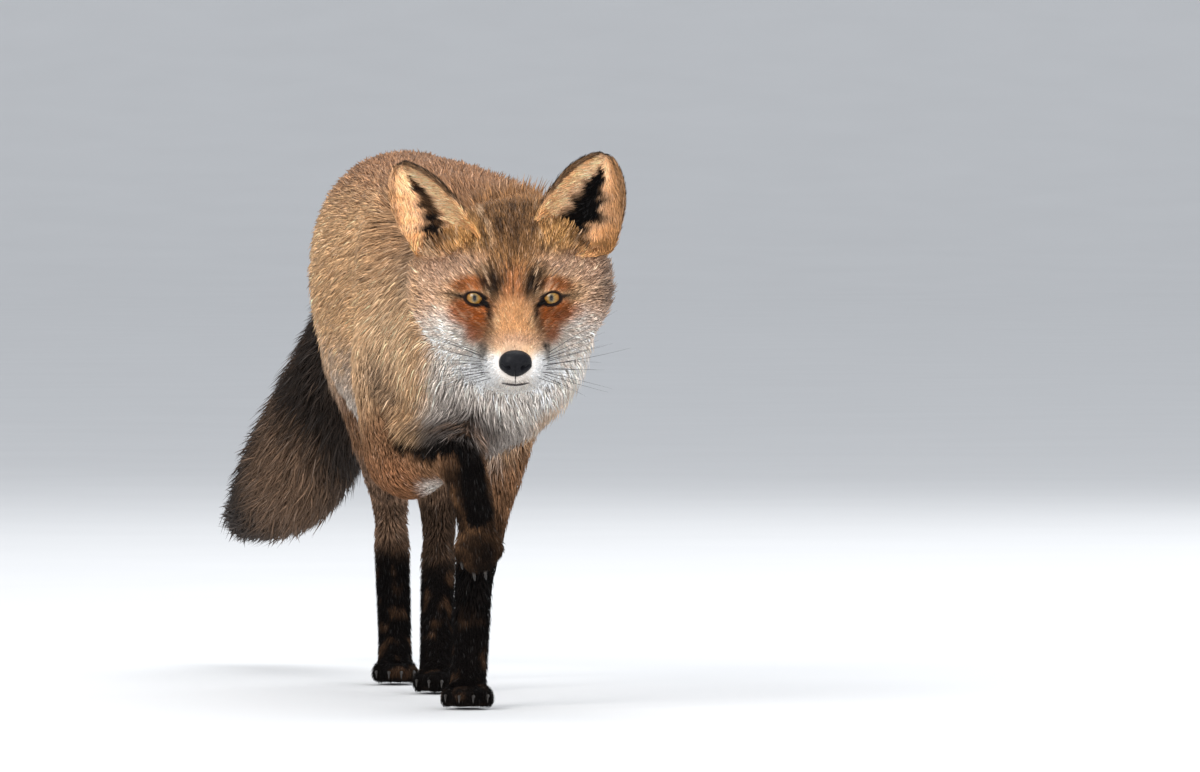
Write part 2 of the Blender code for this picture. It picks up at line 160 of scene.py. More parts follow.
def activate(obj):
    deselect()
    bpy.context.view_layer.objects.active = obj
    obj.select_set(True)


def apply_modifier(obj, name, kind, **values):
    activate(obj)
    modifier = obj.modifiers.new(name, kind)
    for key, value in values.items():
        setattr(modifier, key, value)
    bpy.ops.object.modifier_apply(modifier=modifier.name)


def face_outwards(obj):
    activate(obj)
    bpy.ops.object.mode_set(mode="EDIT")
    bpy.ops.mesh.select_all(action="SELECT")
    bpy.ops.mesh.normals_make_consistent(inside=False)
    bpy.ops.object.mode_set(mode="OBJECT")


def read(collection, key, width, kind=np.float32):
    """One property of every item of a mesh, as rows."""
    out = np.empty(len(collection) * width, kind)
    collection.foreach_get(key, out)
    return out.reshape(-1, width) if width > 1 else out


def corners(mesh):
    return read(mesh.vertices, "co", 3).astype(float)


def normals(mesh):
    return read(mesh.vertex_normals, "vector", 3).astype(float)


def place_corners(mesh, points):
    mesh.vertices.foreach_set("co", points.astype(np.float32).ravel())
    mesh.update()


def unit(vectors):
    return vectors / np.maximum(np.linalg.norm(vectors, axis=-1, keepdims=True), 1e-9)


def smoothstep(low, high, value):
    """From 0 at low to 1 at high; it falls where low is the larger."""
    t = np.clip((value - low) / (high - low), 0.0, 1.0)
    return t * t * (3 - 2 * t)


def hump(x, y, middle_x, middle_y, reach_x, reach_y):
    """1 at a place, falling away round it."""
    return np.exp(-((x - middle_x) / reach_x) ** 2 - ((y - middle_y) / reach_y) ** 2)


def mix(a, b, share):
    """Colours a, with the given share of b."""
    share = np.asarray(share)[..., None]
    return a * (1 - share) + b * share


def lattice(points, seed):
    """A value from -1 to 1 for each whole place."""
    n = points.astype(np.int64)
    h = n[..., 0] * 374761393 + n[..., 1] * 668265263 + n[..., 2] * 2147483647 + seed * 1274126177
    h = h & 0xFFFFFFFF
    h = ((h ^ (h >> 13)) * 1274126177) & 0xFFFFFFFF
    return ((h ^ (h >> 16)) & 0xFFFF) / 32767.5 - 1


def noise(points, size, seed=0):
    """Smooth noise from -1 to 1 whose lumps are about the given size."""
    place = points / size
    low = np.floor(place)
    t = place - low
    t = t * t * (3 - 2 * t)
    total = 0
    for corner in range(8):
        step = np.array([corner & 1, corner >> 1 & 1, corner >> 2 & 1])
        share = np.prod(np.where(step, t, 1 - t), axis=-1)
        total = total + share * lattice(low + step, seed)
    return total


def noise_vector(points, size, seed=0):
    return np.stack([noise(points, size, seed + k) for k in (11, 23, 37)], axis=-1)


def give(obj, material, slot, *nodes):
    """Finishes a piece: its material and the body it rides on; the solids that it stands for are hidden. The
    slot is not used.
    """
    obj.data.materials.clear()
    obj.data.materials.append(material)
    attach(obj, "root")
    if nodes:
        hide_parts(*nodes)


def link(name, mesh):
    obj = bpy.data.objects.new(name, mesh)
    bpy.context.scene.collection.objects.link(obj)
    return obj


def take(name):
    """The object that an operator has just made, named and put last in the scene's own collection. The
    parts of the skin are then joined in the order in which they were made."""
    obj = bpy.context.object
    obj.name = name
    for collection in obj.users_collection:
        collection.objects.unlink(obj)
    bpy.context.scene.collection.objects.link(obj)
    return obj


def soften(mesh):
    """Smooth shading on every face."""
    mesh.polygons.foreach_set("use_smooth", np.ones(len(mesh.polygons), bool))
    mesh.update()


def paint(mesh, name, colours):
    """Stores one colour per corner."""
    layer = mesh.color_attributes.new(name, "FLOAT_COLOR", "POINT")
    rgba = np.ones((len(colours), 4), np.float32)
    rgba[:, :3] = colours
    layer.data.foreach_set("color", rgba.ravel())


def store(mesh, name, kind, key, values):
    """Stores a value or a vector per corner."""
    layer = mesh.attributes.new(name, kind, "POINT")
    layer.data.foreach_set(key, values.astype(np.float32).ravel())


# ---------------------------------------------------------------- what a user would change
def screen(*values):
    """A colour given as 0 to 255 on screen, as the plain light a surface returns."""
    out = []
    for value in values:
        v = value / 255
        out.append(v / 12.92 if v <= 0.04045 else ((v + 0.055) / 1.055) ** 2.4)
    return tuple(out)


def size(name, value, note):
    return FloatProperty(name=name, description=note, default=value, min=0.0, unit="LENGTH",
                         precision=4)


def colour(name, value, note):
    return FloatVectorProperty(name=name, description=note, default=screen(*value), subtype="COLOR",
                               size=3, min=0, max=1)


class FoxSizes(bpy.types.PropertyGroup):
    back_depth: size("Back depth", 0.0095, "Depth of the coat on the trunk")
    neck_depth: size("Neck depth", 0.0130, "Depth of the ruff")
    tail_depth: size("Tail depth", 0.018, "Depth of the brush")
    head_depth: size("Head depth", 0.006, "Depth of the coat on crown and cheeks")
    face_depth: size("Face depth", 0.0016, "Depth of the coat on the muzzle")
    leg_depth: size("Leg depth", 0.0028, "Depth of the coat on the lower legs")
    ear_wall: size("Ear wall", 0.0016, "Thickness of the bare ear")
    fullness: FloatProperty(name="Fullness", description="Share of the full number of tufts",
                            default=1.0, min=0.05, max=1.2)
    seed: IntProperty(name="Seed", description="Fixes where each tuft falls", default=7)


class FoxColours(bpy.types.PropertyGroup):
    back: colour("Back", (150, 111, 82), "Rust brown of the back")
    flank: colour("Flank", (202, 162, 121), "Orange tan of flank and neck")
    low_flank: colour("Low flank", (175, 154, 137), "Paler hair low on the flank")
    belly: colour("Belly", (186, 176, 166), "Greyish white underside")
    white: colour("White", (232, 223, 214), "Muzzle, cheeks and throat")
    # muzzle white is brighter than the white: painted light on the sides of the muzzle, which turn away from
    # the lamps
    pale: colour("Muzzle white", (250, 246, 242), "Sides of the muzzle below the whiskers")
    # grey is also laid beside the whisker pads and under the jaw as painted shade
    grey: colour("Grey", (118, 110, 106), "Grey underwool that shows on throat and chest")
    # on the chest below the head the charcoal is partly painted shadow
    charcoal: colour("Charcoal", (72, 62, 58), "Dark patches on neck and chest")
    black: colour("Black", (14, 11, 10), "Stockings, backs of the ears and the eye rims")
    smoke: colour("Smoke", (47, 39, 34), "Blackish brown of the brush")
    brush: colour("Brush", (130, 103, 82), "Brown in the brush")
    crown: colour("Crown", (134, 96, 60), "Brown of the crown")
    umber: colour("Umber", (84, 60, 40), "Dark streaks of forehead and tear line")
    brow: colour("Brow", (184, 149, 124), "Pinkish grey of brow and temple")
    rust: colour("Rust", (150, 77, 31), "Patch under the eye")
    orange: colour("Orange", (152, 84, 38), "Upper lid and between the eyes")
    bridge: colour("Bridge", (200, 147, 100), "Bridge of the muzzle")
    cream: colour("Cream", (228, 196, 162), "Cream over the nose and inside the ears")
    gold: colour("Gold", (196, 148, 92), "Roots of the ears")
    leg: colour("Leg", (124, 91, 66), "Brown of the upper legs")
    bare: colour("Bare skin", (27, 20, 18), "Skin of pads and lids")


def palette():
    """The fox's colours by their names."""
    colours = bpy.context.scene.fox_colours
    return {name: np.array(getattr(colours, name)) for name in colours.__annotations__}


def layered(base, *layers):
    """Colours laid over each other, each by its name or as values; every layer gives its share too."""
    named = palette()
    out = named[base] if isinstance(base, str) else base
    for tone, share in layers:
        out = mix(out, named[tone] if isinstance(tone, str) else tone, share)
    return out


# ---------------------------------------------------------------- finishes
def add_node(nodes, kind, **values):
    """A shader node with its settings, and the values of its sockets under their names."""
    node = nodes.new("ShaderNode" + kind)
    for name, value in values.items():
        if hasattr(node, name):
            setattr(node, name, value)
        else:
            node.inputs[name.replace("_", " ")].default_value = value
    return node


def wire(links, *rows):
    """Joins sockets. Each row is a node, its output, the next node, its input."""
    for source, output, target, entry in rows:
        links.new(source.outputs[output], target.inputs[entry])


def strand_group():
    """Fine strands along a direction attribute, as a value from 0 to 1."""
    group = bpy.data.node_groups.new("strands", "ShaderNodeTree")
    for name, kind, value in (("Vector", "NodeSocketVector", None), ("Lie", "NodeSocketVector", None),
                              ("Fineness", "NodeSocketFloat", 900.0), ("Stretch", "NodeSocketFloat", 0.9)):
        socket = group.interface.new_socket(name, in_out="INPUT", socket_type=kind)
        if value is not None:
            socket.default_value = value
    group.interface.new_socket("Strand", in_out="OUTPUT", socket_type="NodeSocketFloat")
    nodes = group.nodes
    start, end = nodes.new("NodeGroupInput"), nodes.new("NodeGroupOutput")
    along = add_node(nodes, "VectorMath", operation="DOT_PRODUCT")
    shorten = add_node(nodes, "Math", operation="MULTIPLY")
    back = add_node(nodes, "VectorMath", operation="SCALE")
    place = add_node(nodes, "VectorMath", operation="SUBTRACT")
    grain = add_node(nodes, "TexNoise", Detail=2.0)
    wire(group.links, (start, "Vector", along, 0), (start, "Lie", along, 1),
         (along, "Value", shorten, 0), (start, "Stretch", shorten, 1),
         (start, "Lie", back, 0), (shorten, 0, back, "Scale"),
         (start, "Vector", place, 0), (back, 0, place, 1), (place, 0, grain, "Vector"),
         (start, "Fineness", grain, "Scale"), (grain, "Fac", end, "Strand"))
    return group


def new_material(name, **constants):
    """A material whose main shader's sockets hold the constants given under their names."""
    material = bpy.data.materials.new(name)
    material.use_nodes = True
    shader = material.node_tree.nodes["Principled BSDF"]
    for socket, value in constants.items():
        shader.inputs[socket.replace("_", " ")].default_value = value
    return material, material.node_tree.nodes, material.node_tree.links, shader


def hair_material(name, fineness, bump, distance):
    """Colour from the painted markings, broken up by strands that follow the lie of the coat."""
    if "strands" not in bpy.data.node_groups:
        strand_group()
    material, nodes, links, shader = new_material(name, Specular_IOR_Level=0.05)
    markings_in = add_node(nodes, "Attribute", attribute_name="coat_colour")
    lie = add_node(nodes, "Attribute", attribute_name="lie")
    place = add_node(nodes, "TexCoord")
    strands = add_node(nodes, "Group", node_tree=bpy.data.node_groups["strands"], Fineness=fineness)
    shade = add_node(nodes, "MapRange", From_Min=0.3, From_Max=0.7, To_Min=0.82, To_Max=1.12)
    tint = add_node(nodes, "VectorMath", operation="SCALE")
    rough = add_node(nodes, "MapRange", To_Min=0.55, To_Max=0.75)
    wire(links, (place, "Object", strands, "Vector"), (lie, "Vector", strands, "Lie"),
         (strands, "Strand", shade, "Value"), (markings_in, "Color", tint, 0),
         (shade, "Result", tint, "Scale"), (tint, 0, shader, "Base Color"),
         (strands, "Strand", rough, "Value"), (rough, "Result", shader, "Roughness"))
    if bump:
        lift = add_node(nodes, "Bump", Strength=bump, Distance=distance)
        wire(links, (strands, "Strand", lift, "Height"), (lift, "Normal", shader, "Normal"))
    return material


# ---------------------------------------------------------------- stage
SWEEP_START = 30.0            # how far behind the fox the floor starts to rise
SWEEP_RADIUS = 30.0
WALL_TOP = 45.0
FLOOR_HALF_WIDTH = 60.0
# name, place, side, power in watts, colour
LIGHTS = (("key", (-2.8, -4.6, 3.2), 3.0, 250, (1.0, 0.985, 0.96)),
          ("fill", (1.6, -6.4, 0.9), 2.6, 330, (0.98, 0.985, 1.0)),
          ("top", (0.2, 0.6, 4.6), 3.6, 110, (0.98, 0.99, 1.0)),
          ("back", (2.0, 4.0, 3.0), 2.6, 70, (0.98, 0.99, 1.0)))
LIGHT_AIM = Vector((0, 0, 0.2))
SKY_COLOUR = (0.90, 0.94, 1.0, 1)
SKY_STRENGTH = 0.85
SENSOR_WIDTH = 36.0
LENS = 394.2
CAMERA_REACH = 200.0
CAMERA_PLACE = Vector((0.1036, -9.2, 0.37))   # from the floor under the shoulders
CAMERA_DOWN = 0.9025                          # degrees below level


class FOX_OT_stage(bpy.types.Operator):
    """Makes the pale floor with its curved backdrop, the lights, the world and the camera"""

    bl_idname = "fox.stage"
    bl_label = "Stage"

    def execute(self, context):
        deselect()
        bpy.ops.mesh.primitive_plane_add(size=1, location=(0, 0, 0))
        floor = take("floor")
        # flat to well behind the fox, then a quarter circle up into a wall
        profile = [(y, 0.0) for y in (-22.0, -2.0, 2.0, 8.0, SWEEP_START)]
        profile += [(SWEEP_START + SWEEP_RADIUS * math.sin(a), SWEEP_RADIUS * (1 - math.cos(a)))
                    for a in np.linspace(0.04, math.pi / 2, 26)]
        profile.append((SWEEP_START + SWEEP_RADIUS, WALL_TOP))
        bm = bmesh.new()
        rows = [[bm.verts.new((x, y, z)) for x in (-FLOOR_HALF_WIDTH, FLOOR_HALF_WIDTH)]
                for y, z in profile]
        for low, high in zip(rows, rows[1:]):
            bm.faces.new((low[0], low[1], high[1], high[0]))
        bm.to_mesh(floor.data)
        bm.free()
        soften(floor.data)
        material, nodes, links, shader = new_material("pale_floor", Roughness=0.9, Specular_IOR_Level=0.1)
        place = add_node(nodes, "TexCoord")
        speck = add_node(nodes, "TexNoise", Scale=3.0)
        tone = add_node(nodes, "MapRange", To_Min=0.64, To_Max=0.68)
        wire(links, (place, "Object", speck, "Vector"), (speck, "Fac", tone, "Value"),
             (tone, "Result", shader, "Base Color"))
        floor.data.materials.append(material)

        for name, place, reach, power, tint in LIGHTS:
            light = bpy.data.lights.new(name, "AREA")
            light.shape, light.size, light.energy, light.color = "SQUARE", reach, power, tint
            lamp = bpy.data.objects.new(name, light)
            context.scene.collection.objects.link(lamp)
            lamp.location = place
            lamp.visible_glossy = name != "fill"
            lamp.rotation_euler = (LIGHT_AIM - Vector(place)).to_track_quat("-Z", "Y").to_euler()
        world = bpy.data.worlds.new("studio")
        world.use_nodes = True
        sky = world.node_tree.nodes["Background"].inputs
        sky["Color"].default_value, sky["Strength"].default_value = SKY_COLOUR, SKY_STRENGTH
        context.scene.world = world
        context.scene.view_settings.view_transform = "Standard"

        camera = bpy.data.cameras.new("camera")
        camera.sensor_width, camera.lens, camera.clip_end = SENSOR_WIDTH, LENS, CAMERA_REACH
        eye = bpy.data.objects.new("camera", camera)
        context.scene.collection.objects.link(eye)
        eye.location = SHOULDER + CAMERA_PLACE
        eye.rotation_euler = (math.radians(90 - CAMERA_DOWN), 0, 0)
        context.scene.camera = eye
        return {"FINISHED"}


# ---------------------------------------------------------------- skin
# how each region of flesh is treated: coat depth (a size's name and a share of it), how much the
# frame's facets are smoothed away
REGIONS = {
    "head": ("head_depth", 1.0, 0.35),
    "neck": ("neck_depth", 1.0, 1.0),
    "trunk": ("back_depth", 1.0, 1.0),
    "tail": ("tail_depth", 1.0, 1.0),
}
LIMB_PARTS = {
    ("foreleg", "upper"): ("leg_depth", 2.2, 0.8),
    ("foreleg", "forearm"): ("leg_depth", 1.2, 0.5),
    ("foreleg", "paw"): ("leg_depth", 0.8, 0.15),
    ("hindleg", "thigh"): ("back_depth", 0.75, 1.0),
    ("hindleg", "shank"): ("leg_depth", 1.4, 0.5),
    ("hindleg", "foot"): ("leg_depth", 0.8, 0.15),
}
REGIONS.update({f"{limb}_{side}_{part}": treatment
                for (limb, part), treatment in LIMB_PARTS.items() for side in ("left", "right")})
BODY_ZONES = list(REGIONS)
FEET = [name for name in BODY_ZONES if name.endswith(("paw", "foot"))]
REGIONS.update({ear: ("face_depth", 1.0, 0.0) for ear in EARS})
ZONES = list(REGIONS)


def zone(weights, *names):
    """How far each corner belongs to the named regions together."""
    return sum(weights[:, ZONES.index(name)] for name in names)


def copy_solids(names, name, swell=0.0):
    """One object from copies of frame solids, their loose corners merged, swollen a little."""
    bm = bmesh.new()
    for node in names:
        part = bmesh.new()
        part.from_mesh(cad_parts[node].data)
        bmesh.ops.remove_doubles(part, verts=part.verts, dist=1e-6)
        part.normal_update()
        for vertex, normal in [(v, v.normal.copy()) for v in part.verts]:
            vertex.co += normal * swell
        mesh = bpy.data.meshes.new("copy")
        part.to_mesh(mesh)
        part.free()
        bm.from_mesh(mesh)
        bpy.data.meshes.remove(mesh)
    mesh = bpy.data.meshes.new(name)
    bm.to_mesh(mesh)
    bm.free()
    return link(name, mesh)


def neighbour_mean(values, edges, count):
    """The mean of each corner's neighbours, for an array of one row per corner."""
    total = np.zeros_like(values)
    for column, each in enumerate(values.T):
        total[:, column] = (np.bincount(edges[:, 0], each[edges[:, 1]], count)
                            + np.bincount(edges[:, 1], each[edges[:, 0]], count))
    degree = np.bincount(edges.ravel(), minlength=count).astype(float)
    return total / np.maximum(degree, 1)[:, None]


def edge_list(mesh):
    return read(mesh.edges, "vertices", 2, np.int32)


FADE_STEPS = 14            # how often the regions are blended into each other


def zone_weights(points, edges):
    """For each corner, how far it belongs to each region, fading over a few centimetres."""
    verts, faces, owner = [], [], []
    for number, name in enumerate(BODY_ZONES):
        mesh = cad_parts[name].data
        base = len(verts)
        verts += [v.co.copy() for v in mesh.vertices]
        for polygon in mesh.polygons:
            faces.append([base + i for i in polygon.vertices])
            owner.append(number)
    tree = BVHTree.FromPolygons(verts, faces)
    weights = np.zeros((len(points), len(ZONES)))
    for i, point in enumerate(points):
        weights[i, owner[tree.find_nearest(point)[2]]] = 1.0
    for _ in range(FADE_STEPS):
        weights = 0.3 * weights + 0.7 * neighbour_mean(weights, edges, len(points))
    return weights / weights.sum(1, keepdims=True)


def head_depth_share(local):
    """From 0 on the muzzle to 1 on the crown, more on the cheeks."""
    left, forward, up = np.abs(local[:, 0]), local[:, 1], local[:, 2]
    back = smoothstep(0.012, -0.060, forward)
    cheek = smoothstep(0.030, 0.060, left) * smoothstep(0.010, -0.050, forward)
    cheek = cheek * smoothstep(0.030, -0.010, up)
    return back * (0.75 + 0.25 * smoothstep(0.0, 0.03, up)) + 0.9 * cheek


# strokes that shape the face under the coat: distance from the midline (both sides, where it isn't 0),
# forward, up, reach, height along the normal
FACE_STROKES = (
    ("brow", 0.0250, 0.0000, 0.0150, 0.0090, 0.0022),
    ("inner corner", 0.0165, 0.0130, -0.0045, 0.0060, -0.0022),
    ("below the eye", 0.0290, 0.0080, -0.0120, 0.0070, -0.0012),
    ("stop", 0.0000, 0.0080, 0.0080, 0.0110, -0.0010),
    ("whisker pad", 0.0150, 0.0520, -0.0420, 0.0110, 0.0014),
    ("lip line", 0.0190, 0.0420, -0.0500, 0.0040, -0.0012),
    ("ear hollow", 0.0450, -0.0380, 0.0370, 0.0160, -0.0150),
    ("ear hollow", 0.0560, -0.0440, 0.0240, 0.0120, -0.0080),
)
NOSE_BED = 0.0050          # how deep the nose pad is set into the skin


def sculpt_face(points, directions):
    """Sets the nose in and lays the strokes over the face."""
    local = to_head(points)
    away = np.linalg.norm(local - to_head(np.array([middle("nose")])), axis=1)
    points = points - directions * (NOSE_BED * smoothstep(0.0135, 0.0085, away))[:, None]
    for _, left, forward, up, reach, height in FACE_STROKES:
        for side in ((1, -1) if left else (1,)):
            away = np.linalg.norm(local - np.array([side * left, forward, up]), axis=1)
            points = points + directions * (height * np.exp(-(away / reach) ** 2))[:, None]
    return points


def tree_of(mesh):
    return BVHTree.FromPolygons([v.co for v in mesh.vertices], [tuple(p.vertices) for p in mesh.polygons])


THICKEST = 0.2             # no flesh is thicker than this


def inward_room(points, directions, mesh):
    """How thick the flesh is under each corner."""
    tree = tree_of(mesh)
    room = np.full(len(points), THICKEST)
    for i, (point, direction) in enumerate(zip(points, directions)):
        inside = Vector(-direction)
        hit = tree.ray_cast(Vector(point) + inside * 0.001, inside, THICKEST)
        if hit[0] is not None:
            room[i] = hit[3]
    return room


# ------------------------------------------------ lids
GAZE_OUT = -0.02           # how far each eye looks outwards of straight ahead


def eye_frame(side):
    """The eye's centre and its axes outwards, along the gaze and up, in the world."""
    gaze = Vector((side * GAZE_OUT, -1.0, 0.0)).normalized()
    out = Vector((side, GAZE_OUT, 0.0)).normalized()
    centre = middle("eye_left" if side > 0 else "eye_right")
    return np.array(centre), np.array((out, gaze, Vector((0, 0, 1)))).T


def to_eye(points, side):
    """Outwards, along the gaze and up from the eye's centre."""
    centre, axes = eye_frame(side)
    return (points - centre) @ axes


def opening(angle):
    """The edge of the lids at an angle, outwards and up from the middle of the pupil."""
    c, s = np.cos(angle), np.sin(angle)
    tear = smoothstep(0.15, 1.0, -c) ** 1.4
    high = 0.0040 * np.sign(s) * np.abs(s) ** 0.85 * np.where(s > 0, 1.0, 1.0 - 0.55 * tear)
    return 0.0060 * c - 0.0022 * tear, high + 0.0007 * c - 0.0002 - 0.0034 * tear


LID_CORNERS = 56
LID_RAY = 0.05             # how far in front of the eye the rays that look for the skin start
# how far each ring of a lid lies outside the opening, its height over the ball, its share of skin
LID_RINGS = ((-0.0005, 0.0000, 0.0), (0.0, 0.0006, 0.0), (0.0006, 0.0011, 0.0), (0.0015, 0.0012, 0.0),
             (0.0026, 0.0007, 0.25), (0.0040, 0.0002, 0.60), (0.0058, 0.0, 0.90), (0.0075, -0.0006, 1.0))


def lid_mesh(side, tree):
    """The two lids of one eye as rings of corners, from the wet edge out on to the face."""
    centre, axes = eye_frame(side)
    count = LID_CORNERS
    angle = np.linspace(0, 2 * np.pi, count, endpoint=False)
    out, up = opening(angle)
    along = np.stack([np.roll(out, -1) - np.roll(out, 1), np.roll(up, -1) - np.roll(up, 1)], 1)
    away = unit(np.stack([along[:, 1], -along[:, 0]], 1))
    verts = []
    for offset, lift, on_skin in LID_RINGS:
        x, z = out + away[:, 0] * offset, up + away[:, 1] * offset
        across = np.sqrt(x * x + z * z)
        ball = np.sqrt(np.maximum((EYE_RADIUS + lift) ** 2 - across ** 2, 0.0028 ** 2))
        row = centre + x[:, None] * axes[:, 0] + z[:, None] * axes[:, 2]
        for point, height, point_off in zip(row, ball, across):
            start = Vector(point + axes[:, 1] * LID_RAY)
            hit = tree.ray_cast(start, Vector(-axes[:, 1]), 0.09)
            skin = (LID_RAY - hit[3]) if hit[0] is not None else height
            place = height * (1 - on_skin) + (skin + min(lift, 0)) * on_skin
            if on_skin < 1:
                place = max(place, math.sqrt(max((EYE_RADIUS + 0.0004) ** 2 - point_off ** 2, 0)))
            verts.append(point + axes[:, 1] * place)
    faces = []
    for r in range(len(LID_RINGS) - 1):
        for i in range(count):
            j = (i + 1) % count
            quad = (r * count + i, r * count + j, (r + 1) * count + j, (r + 1) * count + i)
            faces.append(quad if side < 0 else quad[::-1])
    mesh = bpy.data.meshes.new("lid")
    mesh.from_pydata([tuple(v) for v in verts], [], faces)
    return mesh


# ------------------------------------------------ ears
def ear_object(ear, wall):
    """A cupped leaf: a grid shaped to the ear, then given its thickness."""
    root, axes = ear_frame(ear)
    deselect()
    bpy.ops.mesh.primitive_grid_add(x_subdivisions=26, y_subdivisions=40, size=2)
    obj = take(ear)
    flat = corners(obj.data)
    across, height = flat[:, 0], (flat[:, 1] + 1) / 2 * 1.22 - 0.24
    high = np.clip(height, 0, 1)
    width = EAR_HALF_WIDTH * (1 - high ** 3.0) ** 0.62 * (1 + 0.25 * np.minimum(height, 0))
    width = np.maximum(width, 0.0012) - 0.0006
    # the outer edge folds over in a small pocket near the root
    lobe = np.exp(-((height - 0.16) / 0.13) ** 2) * smoothstep(0.55, 1.0, across)
    depth = EAR_CUP * (1 - 0.70 * high)
    bend = depth * (1 - np.abs(across) ** 1.8) - 0.45 * EAR_CUP + 0.0030 * lobe
    # below the lobe the outer edge curves back in to the head
    width = width * (1 - 0.75 * smoothstep(0.10, -0.16, height) * smoothstep(0.0, 0.8, across))
    ripple = 0.0006 * np.sin(height * 17) * (1 - across ** 2)
    local = np.stack([across * width + 0.0008 * lobe, -bend + ripple, height * EAR_LENGTH], 1)
    place_corners(obj.data, root + local @ axes.T)
    apply_modifier(obj, "Wall", "SOLIDIFY", thickness=wall, offset=0.0)
    face_outwards(obj)
    return obj


FACE_FRONT = -0.030        # the mesh is finer from here forwards, in the head's axes
FACE_HALF_WIDTH = 0.075
SMOOTH_STEPS = 30
SKIN_FLOOR = 0.0002        # no skin is lower than this
ROOM_SHARE = 0.32          # the coat takes no more than this share of the flesh's thickness
# painted shade: the skin under the coat is painted darker than the hair over it
SKIN_SHADE = 0.62          # the skin under the coat against the hair over it


def refine_face(skin):
    """Divides the faces of the face once more."""
    local = to_head(corners(skin.data))
    activate(skin)
    bpy.ops.object.mode_set(mode="EDIT")
    bpy.ops.mesh.select_mode(type="VERT")
    bpy.ops.mesh.select_all(action="DESELECT")
    bpy.ops.object.mode_set(mode="OBJECT")
    in_front = (local[:, 1] > FACE_FRONT) & (np.abs(local[:, 0]) < FACE_HALF_WIDTH)
    skin.data.vertices.foreach_set("select", in_front)
    bpy.ops.object.mode_set(mode="EDIT")
    bpy.ops.mesh.subdivide(number_cuts=1)
    bpy.ops.object.mode_set(mode="OBJECT")


def draw_in(mesh, weights, edges, sizes):
    """Smooths the flesh and moves it in by the coat's depth, which it gives."""
    points = corners(mesh)
    count = len(points)
    softness = weights @ np.array([REGIONS[z][2] for z in ZONES])
    for step in range(SMOOTH_STEPS):
        reach = np.clip(softness * 1.3 - 0.03 * step * (1 - softness), 0, 1)[:, None]
        points += reach * 0.5 * (neighbour_mean(points, edges, count) - points)
    place_corners(mesh, points)
    directions, local = normals(mesh), to_head(points)
    depth = weights @ np.array([getattr(sizes, REGIONS[z][0]) * REGIONS[z][1] for z in ZONES])
    on_head = sizes.face_depth + (sizes.head_depth - sizes.face_depth) * head_depth_share(local)
    depth += zone(weights, "head") * (on_head - sizes.head_depth)
    depth = np.minimum(depth, ROOM_SHARE * inward_room(points, directions, mesh))
    for _ in range(4):
        depth = 0.5 * depth + 0.5 * neighbour_mean(depth[:, None], edges, count)[:, 0]
    points = points - directions * depth[:, None]
    for _ in range(3):
        points += (0.35 * softness)[:, None] * (neighbour_mean(points, edges, count) - points)
    points = sculpt_face(points, directions)
    points[:, 2] = np.maximum(points[:, 2], SKIN_FLOOR)
    place_corners(mesh, points)
    return depth


class FOX_OT_skin(bpy.types.Operator):
    """Joins the flesh into one skin with lids and ears that lies inside the coat's outline"""

    bl_idname = "fox.skin"
    bl_label = "Skin"

    def execute(self, context):
        sizes = context.scene.fox_sizes
        solids = [n for n in FLESH if n not in EARS] + list(BARE)
        skin = copy_solids(solids, "skin", swell=JOIN_SWELL)
        apply_modifier(skin, "Join", "REMESH", mode="VOXEL", voxel_size=SKIN_VOXEL)
        refine_face(skin)
        mesh = skin.data
        edges = edge_list(mesh)
        weights = zone_weights(corners(mesh), edges)
        depth = draw_in(mesh, weights, edges, sizes)
        body = len(depth)

        tree = tree_of(mesh)
        parts = [link("lid", lid_mesh(side, tree)) for side in (1, -1)]
        parts += [ear_object(ear, sizes.ear_wall) for ear in EARS]
        ends = body + np.cumsum([len(part.data.vertices) for part in parts])
        activate(skin)
        for part in parts:
            part.select_set(True)
        bpy.ops.object.join()
        soften(mesh)
        points, directions = corners(mesh), normals(mesh)
        total = len(points)
        lids, left_ear = ends[1], ends[2]
        weights = np.concatenate([weights, np.zeros((total - body, len(ZONES)))])
        weights[body:lids, ZONES.index("head")] = 1
        weights[lids:left_ear, ZONES.index("ear_left")] = 1
        weights[left_ear:, ZONES.index("ear_right")] = 1
        depth = np.concatenate([depth, np.full(total - body, sizes.face_depth)])

        activate(skin)
        bpy.ops.object.mode_set(mode="EDIT")
        bpy.ops.mesh.select_all(action="SELECT")
        bpy.ops.uv.smart_project(angle_limit=math.radians(75), island_margin=0.002)
        bpy.ops.object.mode_set(mode="OBJECT")
        mesh.uv_layers.active.name = "OFBake"

        lie = lie_of_coat(points, directions, weights)
        made.update(skin=skin, points=points, normals=directions, weights=weights, depth=depth,
                    lie=lie, tree=tree_of(mesh))
        store(mesh, "lie", "FLOAT_VECTOR", "vector", lie)
        hair, bare = markings(points, directions, weights)
        # painted shade under the coat, lighter on the front of the face and on the top of trunk and neck
        shade = SKIN_SHADE + 0.26 * zone(weights, "head") * smoothstep(-30, 10, to_head(points)[:, 1] * MM)
        shade = shade + 0.50 * zone(weights, "trunk", "neck") * smoothstep(0.2, 0.8, directions[:, 2])
        under = mix(hair * shade[:, None], palette()["bare"], np.clip(bare, 0, 1))
        paint(mesh, "coat_colour", under)
        give(skin, hair_material("skin_under_coat", 900.0, 0.5, 0.0008), "tan_coat", *FLESH)
        return {"FINISHED"}


